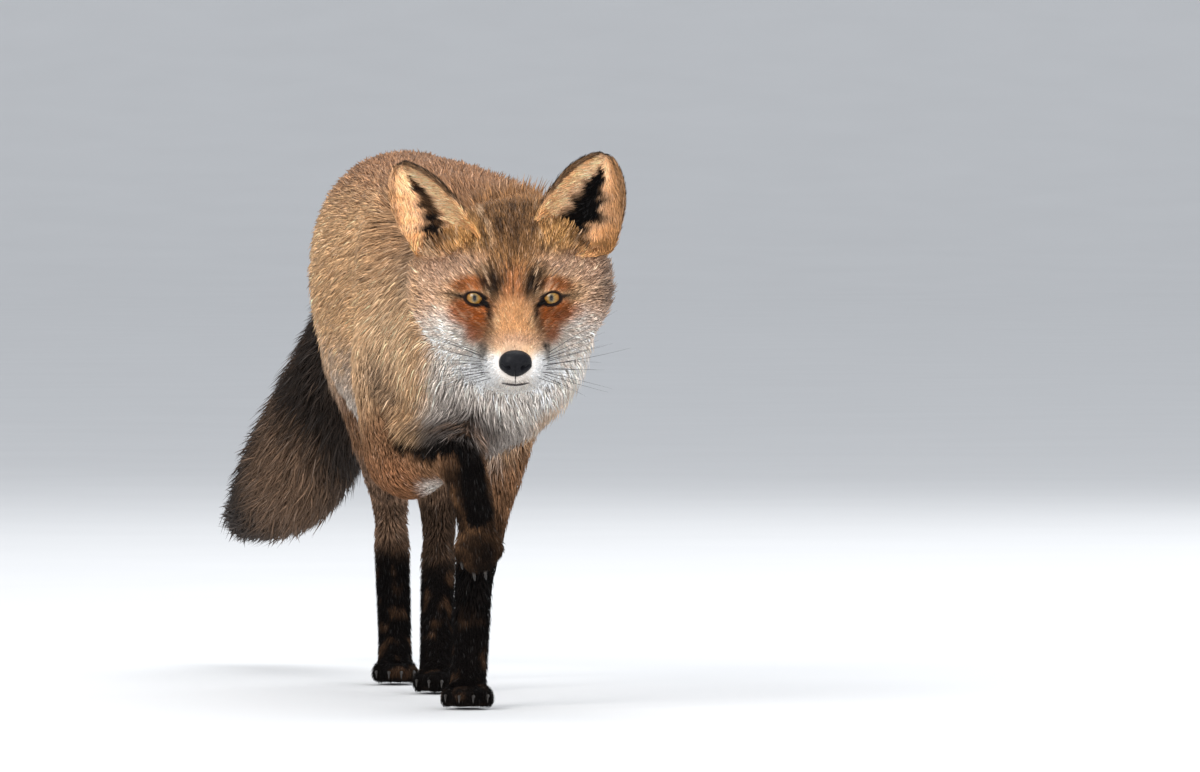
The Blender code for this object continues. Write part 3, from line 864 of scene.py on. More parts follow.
# ---------------------------------------------------------------- markings
# patches of the face as seen from straight ahead, in millimetres: colour, side (0 for both), distance from
# the midline, height from the eyes, half width, half height, turn in degrees (counter-clockwise on the
# fox's left), softness, strength
FACE_PATCHES = (
    # painted shade: grey beside the whisker pads and under the jaw
    ("grey", 0, 30, -60, 30, 10, 0, 0.7, 0.45),
    ("white", 0, 52, -24, 27, 17, 14, 0.45, 0.95),
    ("white", 0, 34, -46, 24, 17, 0, 0.5, 1.0),
    ("brow", 0, 60, 2, 14, 20, 0, 0.6, 0.80),
    ("brow", 0, 42, 20, 24, 8.5, -18, 0.6, 0.85),
    ("crown", 0, 0, 34, 20, 18, 0, 0.7, 0.75),
    ("umber", 0, 0, 54, 19, 22, 0, 0.7, 0.70),
    ("umber", 0, 1, 48, 2.6, 15, 0, 0.8, 0.6),
    ("gold", 0, 32, 42, 13, 11, 25, 0.6, 0.75),
    # umber at the root of the ear: dark brown hair with painted shade in the crease
    ("umber", 0, 47, 39, 11, 4.5, -22, 0.7, 0.85),
    ("orange", 0, 0, 4, 13, 15, 0, 0.7, 0.75),
    ("rust", 0, 29, -9, 15.0, 11, -8, 0.35, 0.95),
    ("rust", 0, 24, -20, 8.5, 12, 30, 0.40, 0.90),
    ("orange", 0, 29, 8.5, 13, 5.5, -8, 0.5, 0.9),
    ("umber", 0, 41, 1.5, 7, 2.0, 10, 0.9, 0.75),
    ("umber", 0, 14.5, 10, 5.6, 11.0, -12, 0.8, 0.80),
    ("umber", 0, 16.5, -16, 3.0, 13, 10, 0.7, 0.72),
    ("bridge", 0, 0, -17, 11.5, 18, 0, 0.4, 0.95),
    ("bridge", 0, 0, -30, 19, 8, 0, 0.5, 0.85),
    ("brow", 0, 0, -31, 17, 6.5, 0, 0.6, 0.72),
    ("umber", 0, 18.5, -27, 4.5, 7.5, 14, 0.9, 0.42),
    ("cream", 0, 0, -37, 21, 5.5, 0, 0.7, 0.42),
    # grey under the jaw on each side: painted shadow with some grey hair
    ("grey", -1, 27, -62, 14, 7, 20, 0.7, 0.75),
    ("grey", 1, 30, -62, 13, 6, 20, 0.8, 0.40),
    ("white", 0, 0, -57, 27, 16, 0, 0.22, 1.0),
    # painted light: the sides of the muzzle brighter than white where they turn from the lamps
    ("pale", 0, 21, -50, 12, 10, 0, 0.5, 1.0),
    ("belly", 0, 0, -50, 13, 13, 0, 0.5, 0.55),
    ("umber", 1, 58, 2, 14, 18, 0, 0.7, 0.14),
    ("grey", 1, 46, -28, 14, 14, 0, 0.7, 0.22),
)
# shapes laid out like the patches, from the distance onwards
BROW_SPOT = (15.2, 9.5, 7.4, 10.5, -24, 0.6, 1.0)
UNDER_EYE = (27, -14, 18, 16, 0, 0.4, 1.0)
WHISKER_ROOTS = (22.6, -37.0, 4.6, 6.2, 20, 0.45, 1.0)
# round the eye, from its middle: the tear line in two pieces, then the line out to the side in two
EYE_RIM = (7.7, 5.4)
EYE_MARKS = (
    (-8.0, -4.6, 3.8, 2.3, 38, 0.35, 1.0),
    (-9.8, -10.0, 1.5, 4.6, -6, 0.8, 0.85),
    (8.2, 1.2, 3.2, 1.6, 8, 0.6, 0.95),
    (11.8, 1.8, 4.2, 1.1, 4, 0.9, 0.55),
)


def face_patch(wide, high, shape, rough):
    """How strongly a soft tilted ellipse covers each place."""
    x, y, half_wide, half_high, turn, soft, strength = shape
    turn = math.radians(turn)
    a, b = wide - x, high - y
    along = a * math.cos(turn) + b * math.sin(turn)
    across = -a * math.sin(turn) + b * math.cos(turn)
    away = np.sqrt((along / half_wide) ** 2 + (across / half_high) ** 2) + 0.14 * rough
    return strength * (1 - smoothstep(1 - soft, 1 + soft, away))


def blob(points, place, reach, soft=0.6, rough=0.0):
    """1 inside a soft lump round a place, 0 outside it."""
    away = np.linalg.norm((points - np.array(place)) / np.array(reach), axis=1) + 0.18 * rough
    return 1 - smoothstep(1 - soft, 1 + soft, away)


# dark and pale patches of the body, from the floor under the shoulders: colour, place, reach, softness,
# strength
BODY_PATCHES = (
    ("charcoal", (-0.031, -0.120, 0.318), (0.020, 0.045, 0.030), 0.7, 0.85),
    ("cream", (-0.045, -0.100, 0.250), (0.030, 0.080, 0.050), 0.8, 0.50),
    ("crown", (0.045, -0.110, 0.350), (0.050, 0.060, 0.040), 0.7, 0.75),
    # charcoal on the chest below the head: dark grey hair with painted shadow
    ("charcoal", (0.016, -0.135, 0.203), (0.020, 0.050, 0.018), 0.7, 0.75),
    ("pale", (0.084, -0.130, 0.238), (0.026, 0.070, 0.034), 0.7, 0.65),
    ("black", (-0.010, -0.100, 0.196), (0.028, 0.050, 0.009), 0.6, 0.60),
    ("charcoal", (0.040, -0.105, 0.186), (0.026, 0.050, 0.014), 0.8, 0.50),
    ("cream", (-0.012, -0.040, 0.150), (0.020, 0.040, 0.014), 0.7, 0.60),
    ("charcoal", (-0.040, -0.030, 0.230), (0.024, 0.030, 0.018), 0.7, 0.60),
    ("umber", (-0.010, 0.130, 0.392), (0.020, 0.260, 0.012), 0.9, 0.30),
    ("back", (-0.050, -0.060, 0.328), (0.030, 0.070, 0.028), 0.8, 0.45),
    ("umber", (-0.037, -0.030, 0.212), (0.024, 0.060, 0.014), 0.8, 0.35),
)
BIB_FOOT = 0.190           # the height that the bib's middle and width are counted from
# from the nose backwards: how far back, and how high the bib's upper edge lies there
BIB_EDGE = ((-0.20, -0.14, -0.04, 0.02), (0.285, 0.268, 0.205, 0.150))


def bib_share(pose, rough):
    """The bib runs from the chin down the front of the neck, narrower towards the chest."""
    middle_x = 0.016 + 0.36 * (pose[:, 2] - BIB_FOOT)
    half = 0.030 + 0.26 * np.clip(pose[:, 2] - BIB_FOOT, 0, 0.06)
    bib = smoothstep(1.25, 0.75, np.abs(pose[:, 0] - middle_x) / half + 0.10 * rough)
    top = np.interp(pose[:, 1], *BIB_EDGE)
    return bib * smoothstep(0.012, -0.016, pose[:, 2] - top + 0.010 * rough)


def body_colours(pose, directions, rough):
    """Back to belly, with the throat's bib and the darker patches."""
    back, up = pose[:, 1], pose[:, 2]
    side = 1 - smoothstep(0.35, 0.95, directions[:, 2] + 0.12 * rough)
    low = 0.9 * smoothstep(0.272, 0.207, up + 0.012 * rough)
    under = smoothstep(-0.08, -0.62, directions[:, 2] + 0.10 * rough) * smoothstep(-0.02, 0.06, back)
    under = under * smoothstep(0.36, 0.30, back)
    greyness = 0.12 + 0.55 * smoothstep(0.228, 0.188, up)
    greyness = greyness + 0.25 * smoothstep(0.03, -0.02, pose[:, 0])
    bib = layered("white", ("grey", np.clip(greyness + 0.20 * noise(pose, 0.018, 5), 0, 1)))
    patches = [(name, strength * blob(pose, place, reach, soft, rough))
               for name, place, reach, soft, strength in BODY_PATCHES]
    return layered(
        "back",
        ("flank", side * smoothstep(0.395, 0.335, up + 0.01 * rough)),
        ("low_flank", low * smoothstep(-0.04, 0.08, back)),
        ("belly", 0.85 * under),
        (bib, 0.95 * bib_share(pose, rough)),
        *patches)


# the line of the lips in the head's left, forward, up, in millimetres, from the middle to the corner
LIPS = (
    (0, 76, -46.6), (4, 75, -46.2), (8.5, 71, -45.8), (13, 64, -45.9), (16.5, 54, -46.4),
    (19.5, 42, -46.8), (22.5, 31, -46.0), (25, 22, -43.5), (26, 17, -41.0),
)


def near_line(points, line):
    """Distance from a line of straight steps."""
    line, best = np.array(line, float), np.full(len(points), 1e3)
    for a, b in zip(line, line[1:]):
        t = np.clip((points - a) @ (b - a) / np.sum((b - a) ** 2), 0, 1)
        best = np.minimum(best, np.linalg.norm(points - a - t[:, None] * (b - a), axis=1))
    return best


def forehead_streaks(local, high):
    """Noise drawn out into hairs that fan out from the nose over the forehead and brow."""
    angle, reach = np.arctan2(local[:, 0], high + 42), np.hypot(local[:, 0], high + 42)
    streak = noise(np.stack([angle * 38, reach / 11, local[:, 1] / 30], 1), 1.0, 11)
    return streak + 0.5 * noise(np.stack([angle * 70, reach / 7, local[:, 1] / 30], 1), 1.0, 12)


def head_colours(points, directions, rough):
    """The face's patches and streaks, the lips' line, and the body's colours from the nape on."""
    local, wide, high = head_measures(points)
    left, forward = local[:, 0], local[:, 1]
    front = smoothstep(-85, -55, forward)
    patches = []
    for name, side, *shape in FACE_PATCHES:
        share = face_patch(wide, high, shape, rough) * front
        patches.append((name, share * smoothstep(-2, 2, left * side) if side else share))
    streak = forehead_streaks(local, high)
    upper = smoothstep(-4, 6, high) * front
    calm = 1 - 0.65 * smoothstep(22, 38, wide)
    spot = face_patch(wide, high, BROW_SPOT, rough) * front
    below = face_patch(wide, high, UNDER_EYE, rough) * front
    cheek = smoothstep(24, 34, wide) * smoothstep(-4, -14, high) * front
    dots = noise(local * np.array([1.0, 0.55, 1.0]), 3.2, 31)
    root = face_patch(wide, high, WHISKER_ROOTS, rough) * np.exp(-((forward - 45) / 15) ** 2)
    root = root * (0.6 + 0.4 * smoothstep(-0.50, 0.20, dots))
    lips = near_line(np.stack([wide, forward, local[:, 2]], 1), LIPS)
    lips = 0.60 * smoothstep(1.7, 0.5, lips + 0.3 * rough)
    # the outer edge of the cheek: a dark fringe on the fox's left, the flank's tan on its right
    fringe = smoothstep(53, 63, wide + 3 * rough) * smoothstep(-34, -10, high) * smoothstep(34, 18, high)
    edge = smoothstep(54, 66, wide + 4 * rough) * smoothstep(28, 12, high)
    return layered(
        "flank",
        ("crown", smoothstep(4, 30, high) * 0.9),
        ("white", 0.9 * smoothstep(-28, -50, high + 4 * rough)),
        *patches,
        ("umber", 0.62 * calm * upper * smoothstep(0.05, 0.60, streak)),
        ("black", 0.45 * upper * smoothstep(0.40, 0.90, streak) * smoothstep(34, 14, wide)),
        ("cream", 0.30 * upper * smoothstep(0.15, 0.75, -streak) * smoothstep(8, 20, wide)),
        ("black", 0.86 * spot * smoothstep(-0.95, -0.05, streak)),
        ("flank", 0.30 * below * smoothstep(0.15, 0.65, streak)),
        ("umber", 0.40 * below * smoothstep(0.15, 0.65, -streak)),
        ("brow", 0.30 * cheek * smoothstep(0.0, 0.6, streak) + 0.05 * cheek),
        ("black", root),
        ("umber", lips * smoothstep(15, 20, wide)),
        ("charcoal", 0.80 * fringe * smoothstep(-5, 5, left)),
        ("flank", 0.75 * edge * smoothstep(5, -5, left)),
        (body_colours(to_pose(points), directions, rough), smoothstep(-58, -88, forward)))


# the black line over the raised forearm and down the front of its paw, as left and up
RAISED_STRIPE = (
    (-0.030, 0.186), (-0.012, 0.185), (0.006, 0.184), (0.012, 0.176), (0.015, 0.160), (0.020, 0.138),
)
RAISED_TOES = ((0.025, 0.112), (0.023, 0.098))
RAISED_RUST = ((-0.030, -0.030, 0.160), (0.030, 0.050, 0.018))     # place and reach of two soft patches
RAISED_WHITE = ((-0.010, -0.060, 0.154), (0.012, 0.050, 0.009))
TAIL_BROWN = ((-0.130, 0.66, 0.146), (0.024, 0.13, 0.048))


def soot(rough):
    """Black with a little brown showing through."""
    return layered("black", ("leg", 0.22 * smoothstep(0.1, 0.9, rough)))


def standing_leg(pose, body, rough):
    """Upper leg, forearm and paw: brown above, black below."""
    upper = layered("leg", (body, smoothstep(0.17, 0.215, pose[:, 2] + 0.01 * rough)))
    lower = layered("black", ("leg", smoothstep(0.100, 0.165, pose[:, 2] + 0.012 * rough)))
    return upper, lower, soot(rough)


def raised_leg(pose, directions, body, rough):
    """Brown on its outer side and underneath, black in front and below the elbow."""
    stripe = near_line(pose[:, [0, 2]], RAISED_STRIPE) + 0.0036 * rough
    facing = smoothstep(0.35, -0.10, directions[:, 1] - 0.8 * directions[:, 2])
    stripe = smoothstep(0.0125, 0.0060, stripe) * facing
    toes = 0.8 * smoothstep(0.016, 0.003, near_line(pose[:, [0, 2]], RAISED_TOES) + 0.0070 * rough)
    upper = layered("leg", (body, smoothstep(0.185, 0.225, pose[:, 2] + 0.01 * rough)), ("black", stripe))
    lower = layered("leg", ("umber", 0.55 * smoothstep(0.165, 0.125, pose[:, 2])),
                    ("rust", 0.15 * blob(pose, *RAISED_RUST, 0.7, rough)),
                    ("white", 0.85 * blob(pose, *RAISED_WHITE, 0.6, rough)), ("black", stripe))
    paw = layered("leg", ("umber", 0.75), ("black", 0.85 * smoothstep(-0.8, 0.3, rough)),
                  ("black", np.maximum(stripe, toes)))
    return upper, lower, paw


def hind_leg(side, pose, directions, body, rough):
    """Thigh, shank and foot; the left shank is black higher up in front."""
    up, back = pose[:, 2], directions[:, 1]
    front = smoothstep(0.35, -0.25, back)
    dark = smoothstep(0.13, 0.07, up + 0.015 * rough)
    dark = np.maximum(dark, front * 0.62 * smoothstep(-0.4, 0.5, rough))
    if side == "left":
        dark = np.maximum(dark, front * smoothstep(0.150, 0.132, up + 0.006 * rough))
    brown = smoothstep(0.100, 0.085, up) * smoothstep(0.045, 0.060, up)
    dark = dark * (1 - 0.45 * brown * smoothstep(-0.2, 0.5, rough))
    thigh = layered("leg", (body, smoothstep(0.19, 0.25, up + 0.012 * rough)))
    shank = layered("leg", ("low_flank", 0.20 + 0.25 * smoothstep(0.0, 0.6, back)), ("black", 0.82 * dark))
    return thigh, shank, layered(soot(rough), ("leg", 0.35 * smoothstep(0.2, 0.9, back)))


def tail_colours(points, pose, directions, body, rough):
    """The body's colours at the root, then smoke with streaks of brown, and a greyer tip."""
    back, upward = pose[:, 1], directions[:, 2]
    streak = noise(points * np.array([1, 0.35, 0.5]), 0.016, 8)
    patch = blob(pose, *TAIL_BROWN, 0.6, rough + 0.5 * streak)
    smoke = layered("smoke", ("brush", 0.36 * smoothstep(0.1, 0.9, streak + 0.4 * rough - 0.1)),
                    ("brush", 0.75 * patch * smoothstep(0.6, -0.3, upward)))
    start = back + 0.020 * rough - 0.05 * smoothstep(0.1, 0.8, upward)
    return layered(body, (smoke, smoothstep(0.380, 0.480, start)),
                   ("back", 0.30 * smoothstep(0.0, 0.8, upward) * smoothstep(0.66, 0.44, back)),
                   ("grey", 0.22 * smoothstep(0.74, 0.80, back + 0.01 * rough)))


EAR_GLOW = (1.26, 1.07, 0.96)      # thin skin lets light through, which brightens and warms its hair


def ear_colours(ear, points, directions, rough):
    """The ear's colours, and how far each place looks into it."""
    across, height, _ = to_ear(points, ear)
    root, axes = ear_frame(ear)
    inner = smoothstep(-0.15, 0.25, directions @ axes[:, 1])
    place = [across * 2.0 + root[0] * 90, height * 24 - 5 * np.abs(across), across * 0]
    hairs = noise(np.stack(place, 1), 1.0, 21)
    golden = 0.10 + 0.55 * smoothstep(0.45, -0.1, height) + 0.36 * smoothstep(0.35, 0.95, np.abs(across))
    inside = np.array(EAR_GLOW) * layered("cream", ("gold", np.clip(golden + 0.25 * hairs, 0, 1)))
    if EAR_SET[ear][0] > 0:
        line, wide = 0.12 - 0.9 * np.clip(0.30 - height, 0, 1), 0.46
        dark = 0.6 * palette()["black"]
        inside = layered(inside, ("crown", 0.75 * smoothstep(0.40, 0.85, across + 0.06 * rough)))
    else:
        line, wide = 0.26 + 0.35 * (0.45 - height), 0.28
        dark = layered("black", ("umber", 0.5 * smoothstep(-0.2, 0.5, hairs)))
    wide = wide * smoothstep(1.0, 0.55, height)
    off_line = np.abs(across - line + 0.08 * rough + 0.15 * hairs)
    stripe = 1 - smoothstep(wide * 0.5, wide * 1.4 + 0.02, off_line)
    stripe = stripe * smoothstep(-0.05, 0.12, height) * smoothstep(0.95, 0.80, height)
    rim = smoothstep(0.92, 1.0, np.abs(across)) * smoothstep(0.3, 0.5, height)
    rim = np.maximum(rim * np.where(across < 0, 1.0, 0.5), smoothstep(0.95, 0.99, height))
    outside = layered("black", ("gold", 0.85 * smoothstep(0.30, 0.05, height + 0.05 * rough)))
    return mix(outside, layered(inside, (dark, stripe), ("black", 0.85 * rim)), inner), inner


def eye_rim(points, side, rough):
    """The eye's dark rim with its lines, and the bare skin inside it."""
    eye = to_eye(points, side) * MM
    half_wide, half_high = EYE_RIM
    slanted = eye[:, 2] - 0.14 * eye[:, 0] + 0.5
    near = np.sqrt((eye[:, 0] / half_wide) ** 2 + (slanted / half_high) ** 2) + 0.05 * rough
    in_front = eye[:, 1] > -4
    rim = (1 - smoothstep(0.95, 1.20, near)) * in_front
    for mark in EYE_MARKS:
        rim = np.maximum(rim, face_patch(eye[:, 0], eye[:, 2], mark, rough) * (eye[:, 1] > -9))
    return rim, (1 - smoothstep(0.9, 1.15, near)) * in_front


def markings(points, directions, weights):
    """The hair's colour at each place, and how bare the skin is there."""
    pose = to_pose(points)
    rough = noise(points, 0.010, 1) + 0.6 * noise(points, 0.0045, 2)
    body = body_colours(pose, directions, rough)
    by_zone = {name: body for name in ZONES}
    by_zone["head"] = head_colours(points, directions, rough)
    by_zone["tail"] = tail_colours(points, pose, directions, body, rough)
    legs = {
        "foreleg_left": standing_leg(pose, body, rough),
        "foreleg_right": raised_leg(pose, directions, body, rough),
        "hindleg_left": hind_leg("left", pose, directions, body, rough),
        "hindleg_right": hind_leg("right", pose, directions, body, rough),
    }
    for leg, colours in legs.items():
        parts = [part for limb, part in LIMB_PARTS if leg.startswith(limb)]
        by_zone.update({f"{leg}_{part}": tone for part, tone in zip(parts, colours)})
    bare = np.zeros(len(points))
    for ear in EARS:
        by_zone[ear], inner = ear_colours(ear, points, directions, rough)
        bare = np.maximum(bare, 0.3 * zone(weights, ear) * inner)
    total = sum(by_zone[name] * weights[:, [ZONES.index(name)]] for name in ZONES)
    for side in (1, -1):
        rim, lid = eye_rim(points, side, rough)
        total = layered(total, ("black", rim))
        bare = np.maximum(bare, lid)
    pads = zone(weights, *FEET) * smoothstep(-0.55, -0.85, directions[:, 2])
    bare = np.maximum(bare, pads * smoothstep(0.022, 0.008, pose[:, 2]))
    return total, bare


# ---------------------------------------------------------------- lie of the coat
# the middle of the brush from its root to its tip, from the floor under the shoulders
TAIL_LINE = (
    (-0.047, 0.390, 0.342), (-0.056, 0.450, 0.320), (-0.077, 0.530, 0.264), (-0.099, 0.610, 0.204),
    (-0.121, 0.685, 0.157), (-0.137, 0.740, 0.134), (-0.154, 0.780, 0.120), (-0.174, 0.812, 0.107),
)
NECK_MIDDLE = 0.035        # the neck's hair parts to both sides of here
# which way the hair lies on each region, in fox's left, back, up
LIE = {
    "foreleg_left_upper": (0.00, 0.45, -0.90), "foreleg_right_upper": (0.25, 0.10, -0.95),
    "foreleg_left_forearm": (-0.12, 0.05, -1.0), "foreleg_right_forearm": (0.25, -0.55, -0.75),
    "foreleg_left_paw": (0.00, -0.60, -0.80), "foreleg_right_paw": (0.15, -0.25, -0.95),
    "hindleg_left_thigh": (0.00, 0.50, -0.87), "hindleg_right_thigh": (0.00, 0.60, -0.80),
    "hindleg_left_shank": (0.00, 0.25, -0.97), "hindleg_right_shank": (0.05, 0.75, -0.65),
    "hindleg_left_foot": (0.00, -0.35, -0.93), "hindleg_right_foot": (0.00, -0.25, -0.97),
}


def along_tail(pose):
    """The brush's direction at the piece of its line that is nearest."""
    line = np.array(TAIL_LINE)
    steps = unit(np.diff(line, axis=0))
    nearest = np.argmin(np.linalg.norm(pose[:, None] - (line[1:] + line[:-1])[None] / 2, axis=2), axis=1)
    return steps[nearest]


def head_lie(points):
    """Back and out over the face, up and back over the brow, back and down over the cheeks."""
    local, wide, high = head_measures(points)
    out = np.sign(local[:, 0]) * np.clip(wide / 24, 0, 1.25)
    out = out * (0.55 + 0.45 * smoothstep(34, 8, np.abs(high - 2)))
    rise = 0.85 * smoothstep(0, 16, high) * (1 - 0.35 * smoothstep(30, 60, wide))
    rise = rise + 0.55 * smoothstep(16, 4, wide) * smoothstep(-42, -32, high) * smoothstep(30, 5, high)
    rise = rise + 0.7 * hump(wide, high, 38, 38, 20, 14)
    rise = rise - 0.75 * smoothstep(-8, -40, high) * smoothstep(8, 22, wide)
    rise = rise - 0.7 * smoothstep(-46, -60, high)
    return np.stack([out, np.full(len(out), -1.0), rise], 1) @ HEAD_AXES.T


def ear_lie(ear, points, directions):
    """Up the ear; inside it, also out from both edges towards the middle."""
    _, axes = ear_frame(ear)
    across, height, _ = to_ear(points, ear)
    inner = smoothstep(-0.15, 0.25, directions @ axes[:, 1])
    sweep = (0.95 * smoothstep(0.35, -0.5, across) - 0.35 * smoothstep(0.3, 0.9, across)) * inner
    climb = 0.45 + 0.55 * (1 - inner) + 0.3 * height
    return sweep[:, None] * axes[:, 0] + climb[:, None] * axes[:, 2]


def lie_of_coat(points, directions, weights):
    """Which way the hair lies along the skin at each place."""
    pose = to_pose(points)
    count = len(points)
    top = smoothstep(0.3, 0.9, directions[:, 2])
    aside = pose[:, 0] - NECK_MIDDLE
    swing = np.sign(aside) * smoothstep(0.0, 0.03, np.abs(aside))
    front = smoothstep(0.2, 0.8, -directions[:, 1])
    lies = {name: np.tile(unit(np.array(row)), (count, 1)) for name, row in LIE.items()}
    lies["head"] = head_lie(points)
    lies["neck"] = unit(np.stack([0.35 * swing * front, 0.75 - 0.5 * front, -0.70 + 0.62 * top], 1))
    lies["trunk"] = unit(np.stack([np.zeros(count), np.full(count, 0.92), -0.45 + 0.42 * top], 1))
    lies["tail"] = along_tail(pose)
    for ear in EARS:
        lies[ear] = ear_lie(ear, points, directions)
    out = np.zeros((count, 3))
    for index, name in enumerate(ZONES):
        out += weights[:, [index]] * unit(lies[name])
    out = out + 0.20 * noise_vector(points, 0.030, 50) + 0.10 * noise_vector(points, 0.010, 60)
    out -= directions * np.sum(out * directions, axis=1, keepdims=True)
    return unit(out)


# ---------------------------------------------------------------- coat
# tufts on each region: length, width, number to the square centimetre, how ragged, share of dark hairs,
# share of pale hairs
TUFTS = {
    "head": (0.009, 0.0009, 95, 0.16, 0.12, 0.12),
    "neck": (0.024, 0.0010, 36, 0.12, 0.14, 0.12),
    "trunk": (0.022, 0.0013, 20, 0.12, 0.14, 0.10),
    "tail": (0.042, 0.0013, 29, 0.20, 0.10, 0.07),
    "upper": (0.014, 0.0012, 32, 0.16, 0.12, 0.08),
    "thigh": (0.021, 0.0013, 24, 0.18, 0.12, 0.10),
    "forearm": (0.0090, 0.0010, 46, 0.12, 0.10, 0.05),
    "shank": (0.0100, 0.0010, 44, 0.14, 0.10, 0.06),
    "paw": (0.0055, 0.0009, 70, 0.10, 0.05, 0.05),
    "foot": (0.0055, 0.0009, 70, 0.10, 0.05, 0.05),
    "ear": (0.0065, 0.0007, 110, 0.14, 0.08, 0.08),
}
LONG = 0.0085              # tufts over this length get a bend
ROOT_DEPTH = 0.0005        # how deep the tufts are set into the skin
TIP_FLOOR = 0.0004         # no tip is lower than this
LOCK_SIZE = 22             # tufts to a lock
LOCK_REACH = 0.006         # no tip is drawn further than this
GUARD_SHARE = 0.04         # share of stiff hairs that stand out over the rest
MOST_BARE = 0.45           # nothing grows on skin that is barer than this
MOST_TRIANGLES = 199000    # in one piece
HAIR_TONE = 1.22           # the tufts against the markings, which the shade between tufts darkens
DARK_HAIR = 0.55           # dark hairs against the hair round them
NAPE = ((0.064, -0.095, 0.335), (0.030, 0.050, 0.030))      # place and reach of the nape's thick hair
FACE_BACK = -0.022         # where the face's piece ends and the head's begins, forward of the eyes
# from the shoulders back: how far back, and how far to the left the spine lies there
SPINE = ((-0.12, 0.0, 0.1, 0.4, 0.8), (0.037, 0.005, -0.014, -0.047, -0.17))


def tuft_row(name):
    """The row of TUFTS that a region uses."""
    for key in TUFTS:
        if name == key or name.endswith("_" + key) or name.startswith(key + "_"):
            return TUFTS[key]
    raise RuntimeError(f"no tufts are given for {name}")


def face_measures(points):
    """Length, width and number of the tufts over the head: finest on the muzzle, longest on the cheeks."""
    local, wide, high = head_measures(points)
    forward = local[:, 1]
    back = smoothstep(45, -45, forward)
    cheek = smoothstep(34, 58, wide) * smoothstep(22, 0, high)
    jaw = smoothstep(-42, -62, high) * smoothstep(60, 20, forward)
    eyes = hump(wide, high, 27, 0, 15, 12)
    ear = hump(wide, high, 38, 36, 20, 14)
    length = 0.0042 + 0.0070 * back + 0.0110 * cheek + 0.0050 * jaw - 0.0028 * eyes - 0.0030 * ear
    width = 0.00060 + 0.00032 * back + 0.00015 * cheek - 0.0001 * eyes
    number = 215 - 135 * back + 25 * eyes
    return np.maximum(length, 0.0032), width, number


class Coat:
    """Every tuft's root, middle, tip, length, width, colour and place on the unwrap."""


def spread(density, rng):
    """Roots spread evenly over the skin, so many to the square metre at each corner: a function that
    blends the corners' values at the roots, and the roots' places on the unwrap."""
    mesh = made["skin"].data
    mesh.calc_loop_triangles()
    corner = read(mesh.loop_triangles, "vertices", 3, np.int32)
    loops = read(mesh.loop_triangles, "loops", 3, np.int32)
    place = made["points"][corner]
    area = np.linalg.norm(np.cross(place[:, 1] - place[:, 0], place[:, 2] - place[:, 0]), axis=1) / 2
    wanted = np.cumsum(area * density[corner].mean(1))
    count = int(wanted[-1])
    step = (np.arange(count) + rng.random(count)) * wanted[-1] / count
    face = np.minimum(np.searchsorted(wanted, step), len(corner) - 1)
    u, v = rng.random(count), rng.random(count)
    over = u + v > 1
    u[over], v[over] = 1 - u[over], 1 - v[over]
    share = np.stack([1 - u - v, u, v], 1)
    unwrap = read(mesh.uv_layers["OFBake"].uv, "vector", 2)

    def blend(values, index=corner):
        return np.einsum("nk,nkc->nc", share, values[index[face]])
    return blend, blend(unwrap, loops)


def tuft_numbers(points, directions, weights, table):
    """Tufts to the square centimetre at each corner: none on bare skin and none under the nose pad."""
    _, _, on_head = face_measures(points)
    number = weights @ table[:, 2]
    number = number + zone(weights, "head") * (on_head - TUFTS["head"][2])
    _, bare = markings(points, directions, weights)
    low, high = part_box("nose")
    nose = to_head(np.array([middle("nose")]))[0] + np.array(NOSE_SHIFT)
    on_nose = np.linalg.norm((to_head(points) - nose) / (np.array(high - low) / 2), axis=1) < 0.98
    return number * (bare < MOST_BARE) * ~on_nose


def tip_heights(coat, depth, rng):
    """How far each tip stands off the skin; stiff hairs stand out over the rest."""
    count = len(coat.root)
    local, upward = to_head(coat.root) * MM, coat.normal[:, 2]
    ruff = coat.head * smoothstep(44, 62, np.abs(local[:, 0])) * smoothstep(10, -30, local[:, 1])
    nape = blob(to_pose(coat.root), *NAPE, 0.7) * smoothstep(0.1, 0.6, upward)
    depth = depth + 0.0045 * ruff + 0.0140 * nape
    rise = depth * rng.uniform(0.55, 1.0, count) * (1 - 0.45 * coat.muzzle)
    guard = rng.random(count) < GUARD_SHARE
    rise = np.where(guard, depth * 1.15, rise)
    flat = smoothstep(0.3, 0.9, upward) * zone(coat.weights, "trunk", "neck") * (nape < 0.1)
    return rise * (1 - 0.10 * flat)


def draw_into_locks(coat, rng):
    """Draws neighbouring tips together; gives the tuft that leads each lock."""
    count = len(coat.root)
    heads = rng.choice(count, count // LOCK_SIZE, replace=False)
    tree = near_tree(coat.root[heads])
    lock = heads[np.array([tree.find(p)[1] for p in coat.root])]
    pull = np.clip(0.30 * smoothstep(0.006, 0.016, coat.length) * rng.uniform(0.4, 1.2, count), 0, 0.6)
    stretch = (coat.length / coat.length[lock])[:, None]
    reach = (coat.root[lock] + (coat.tip[lock] - coat.root[lock]) * stretch) - coat.tip
    reach *= np.minimum(1, LOCK_REACH / np.maximum(np.linalg.norm(reach, axis=1), 1e-6))[:, None]
    coat.tip = coat.tip + reach * pull[:, None]
    return lock


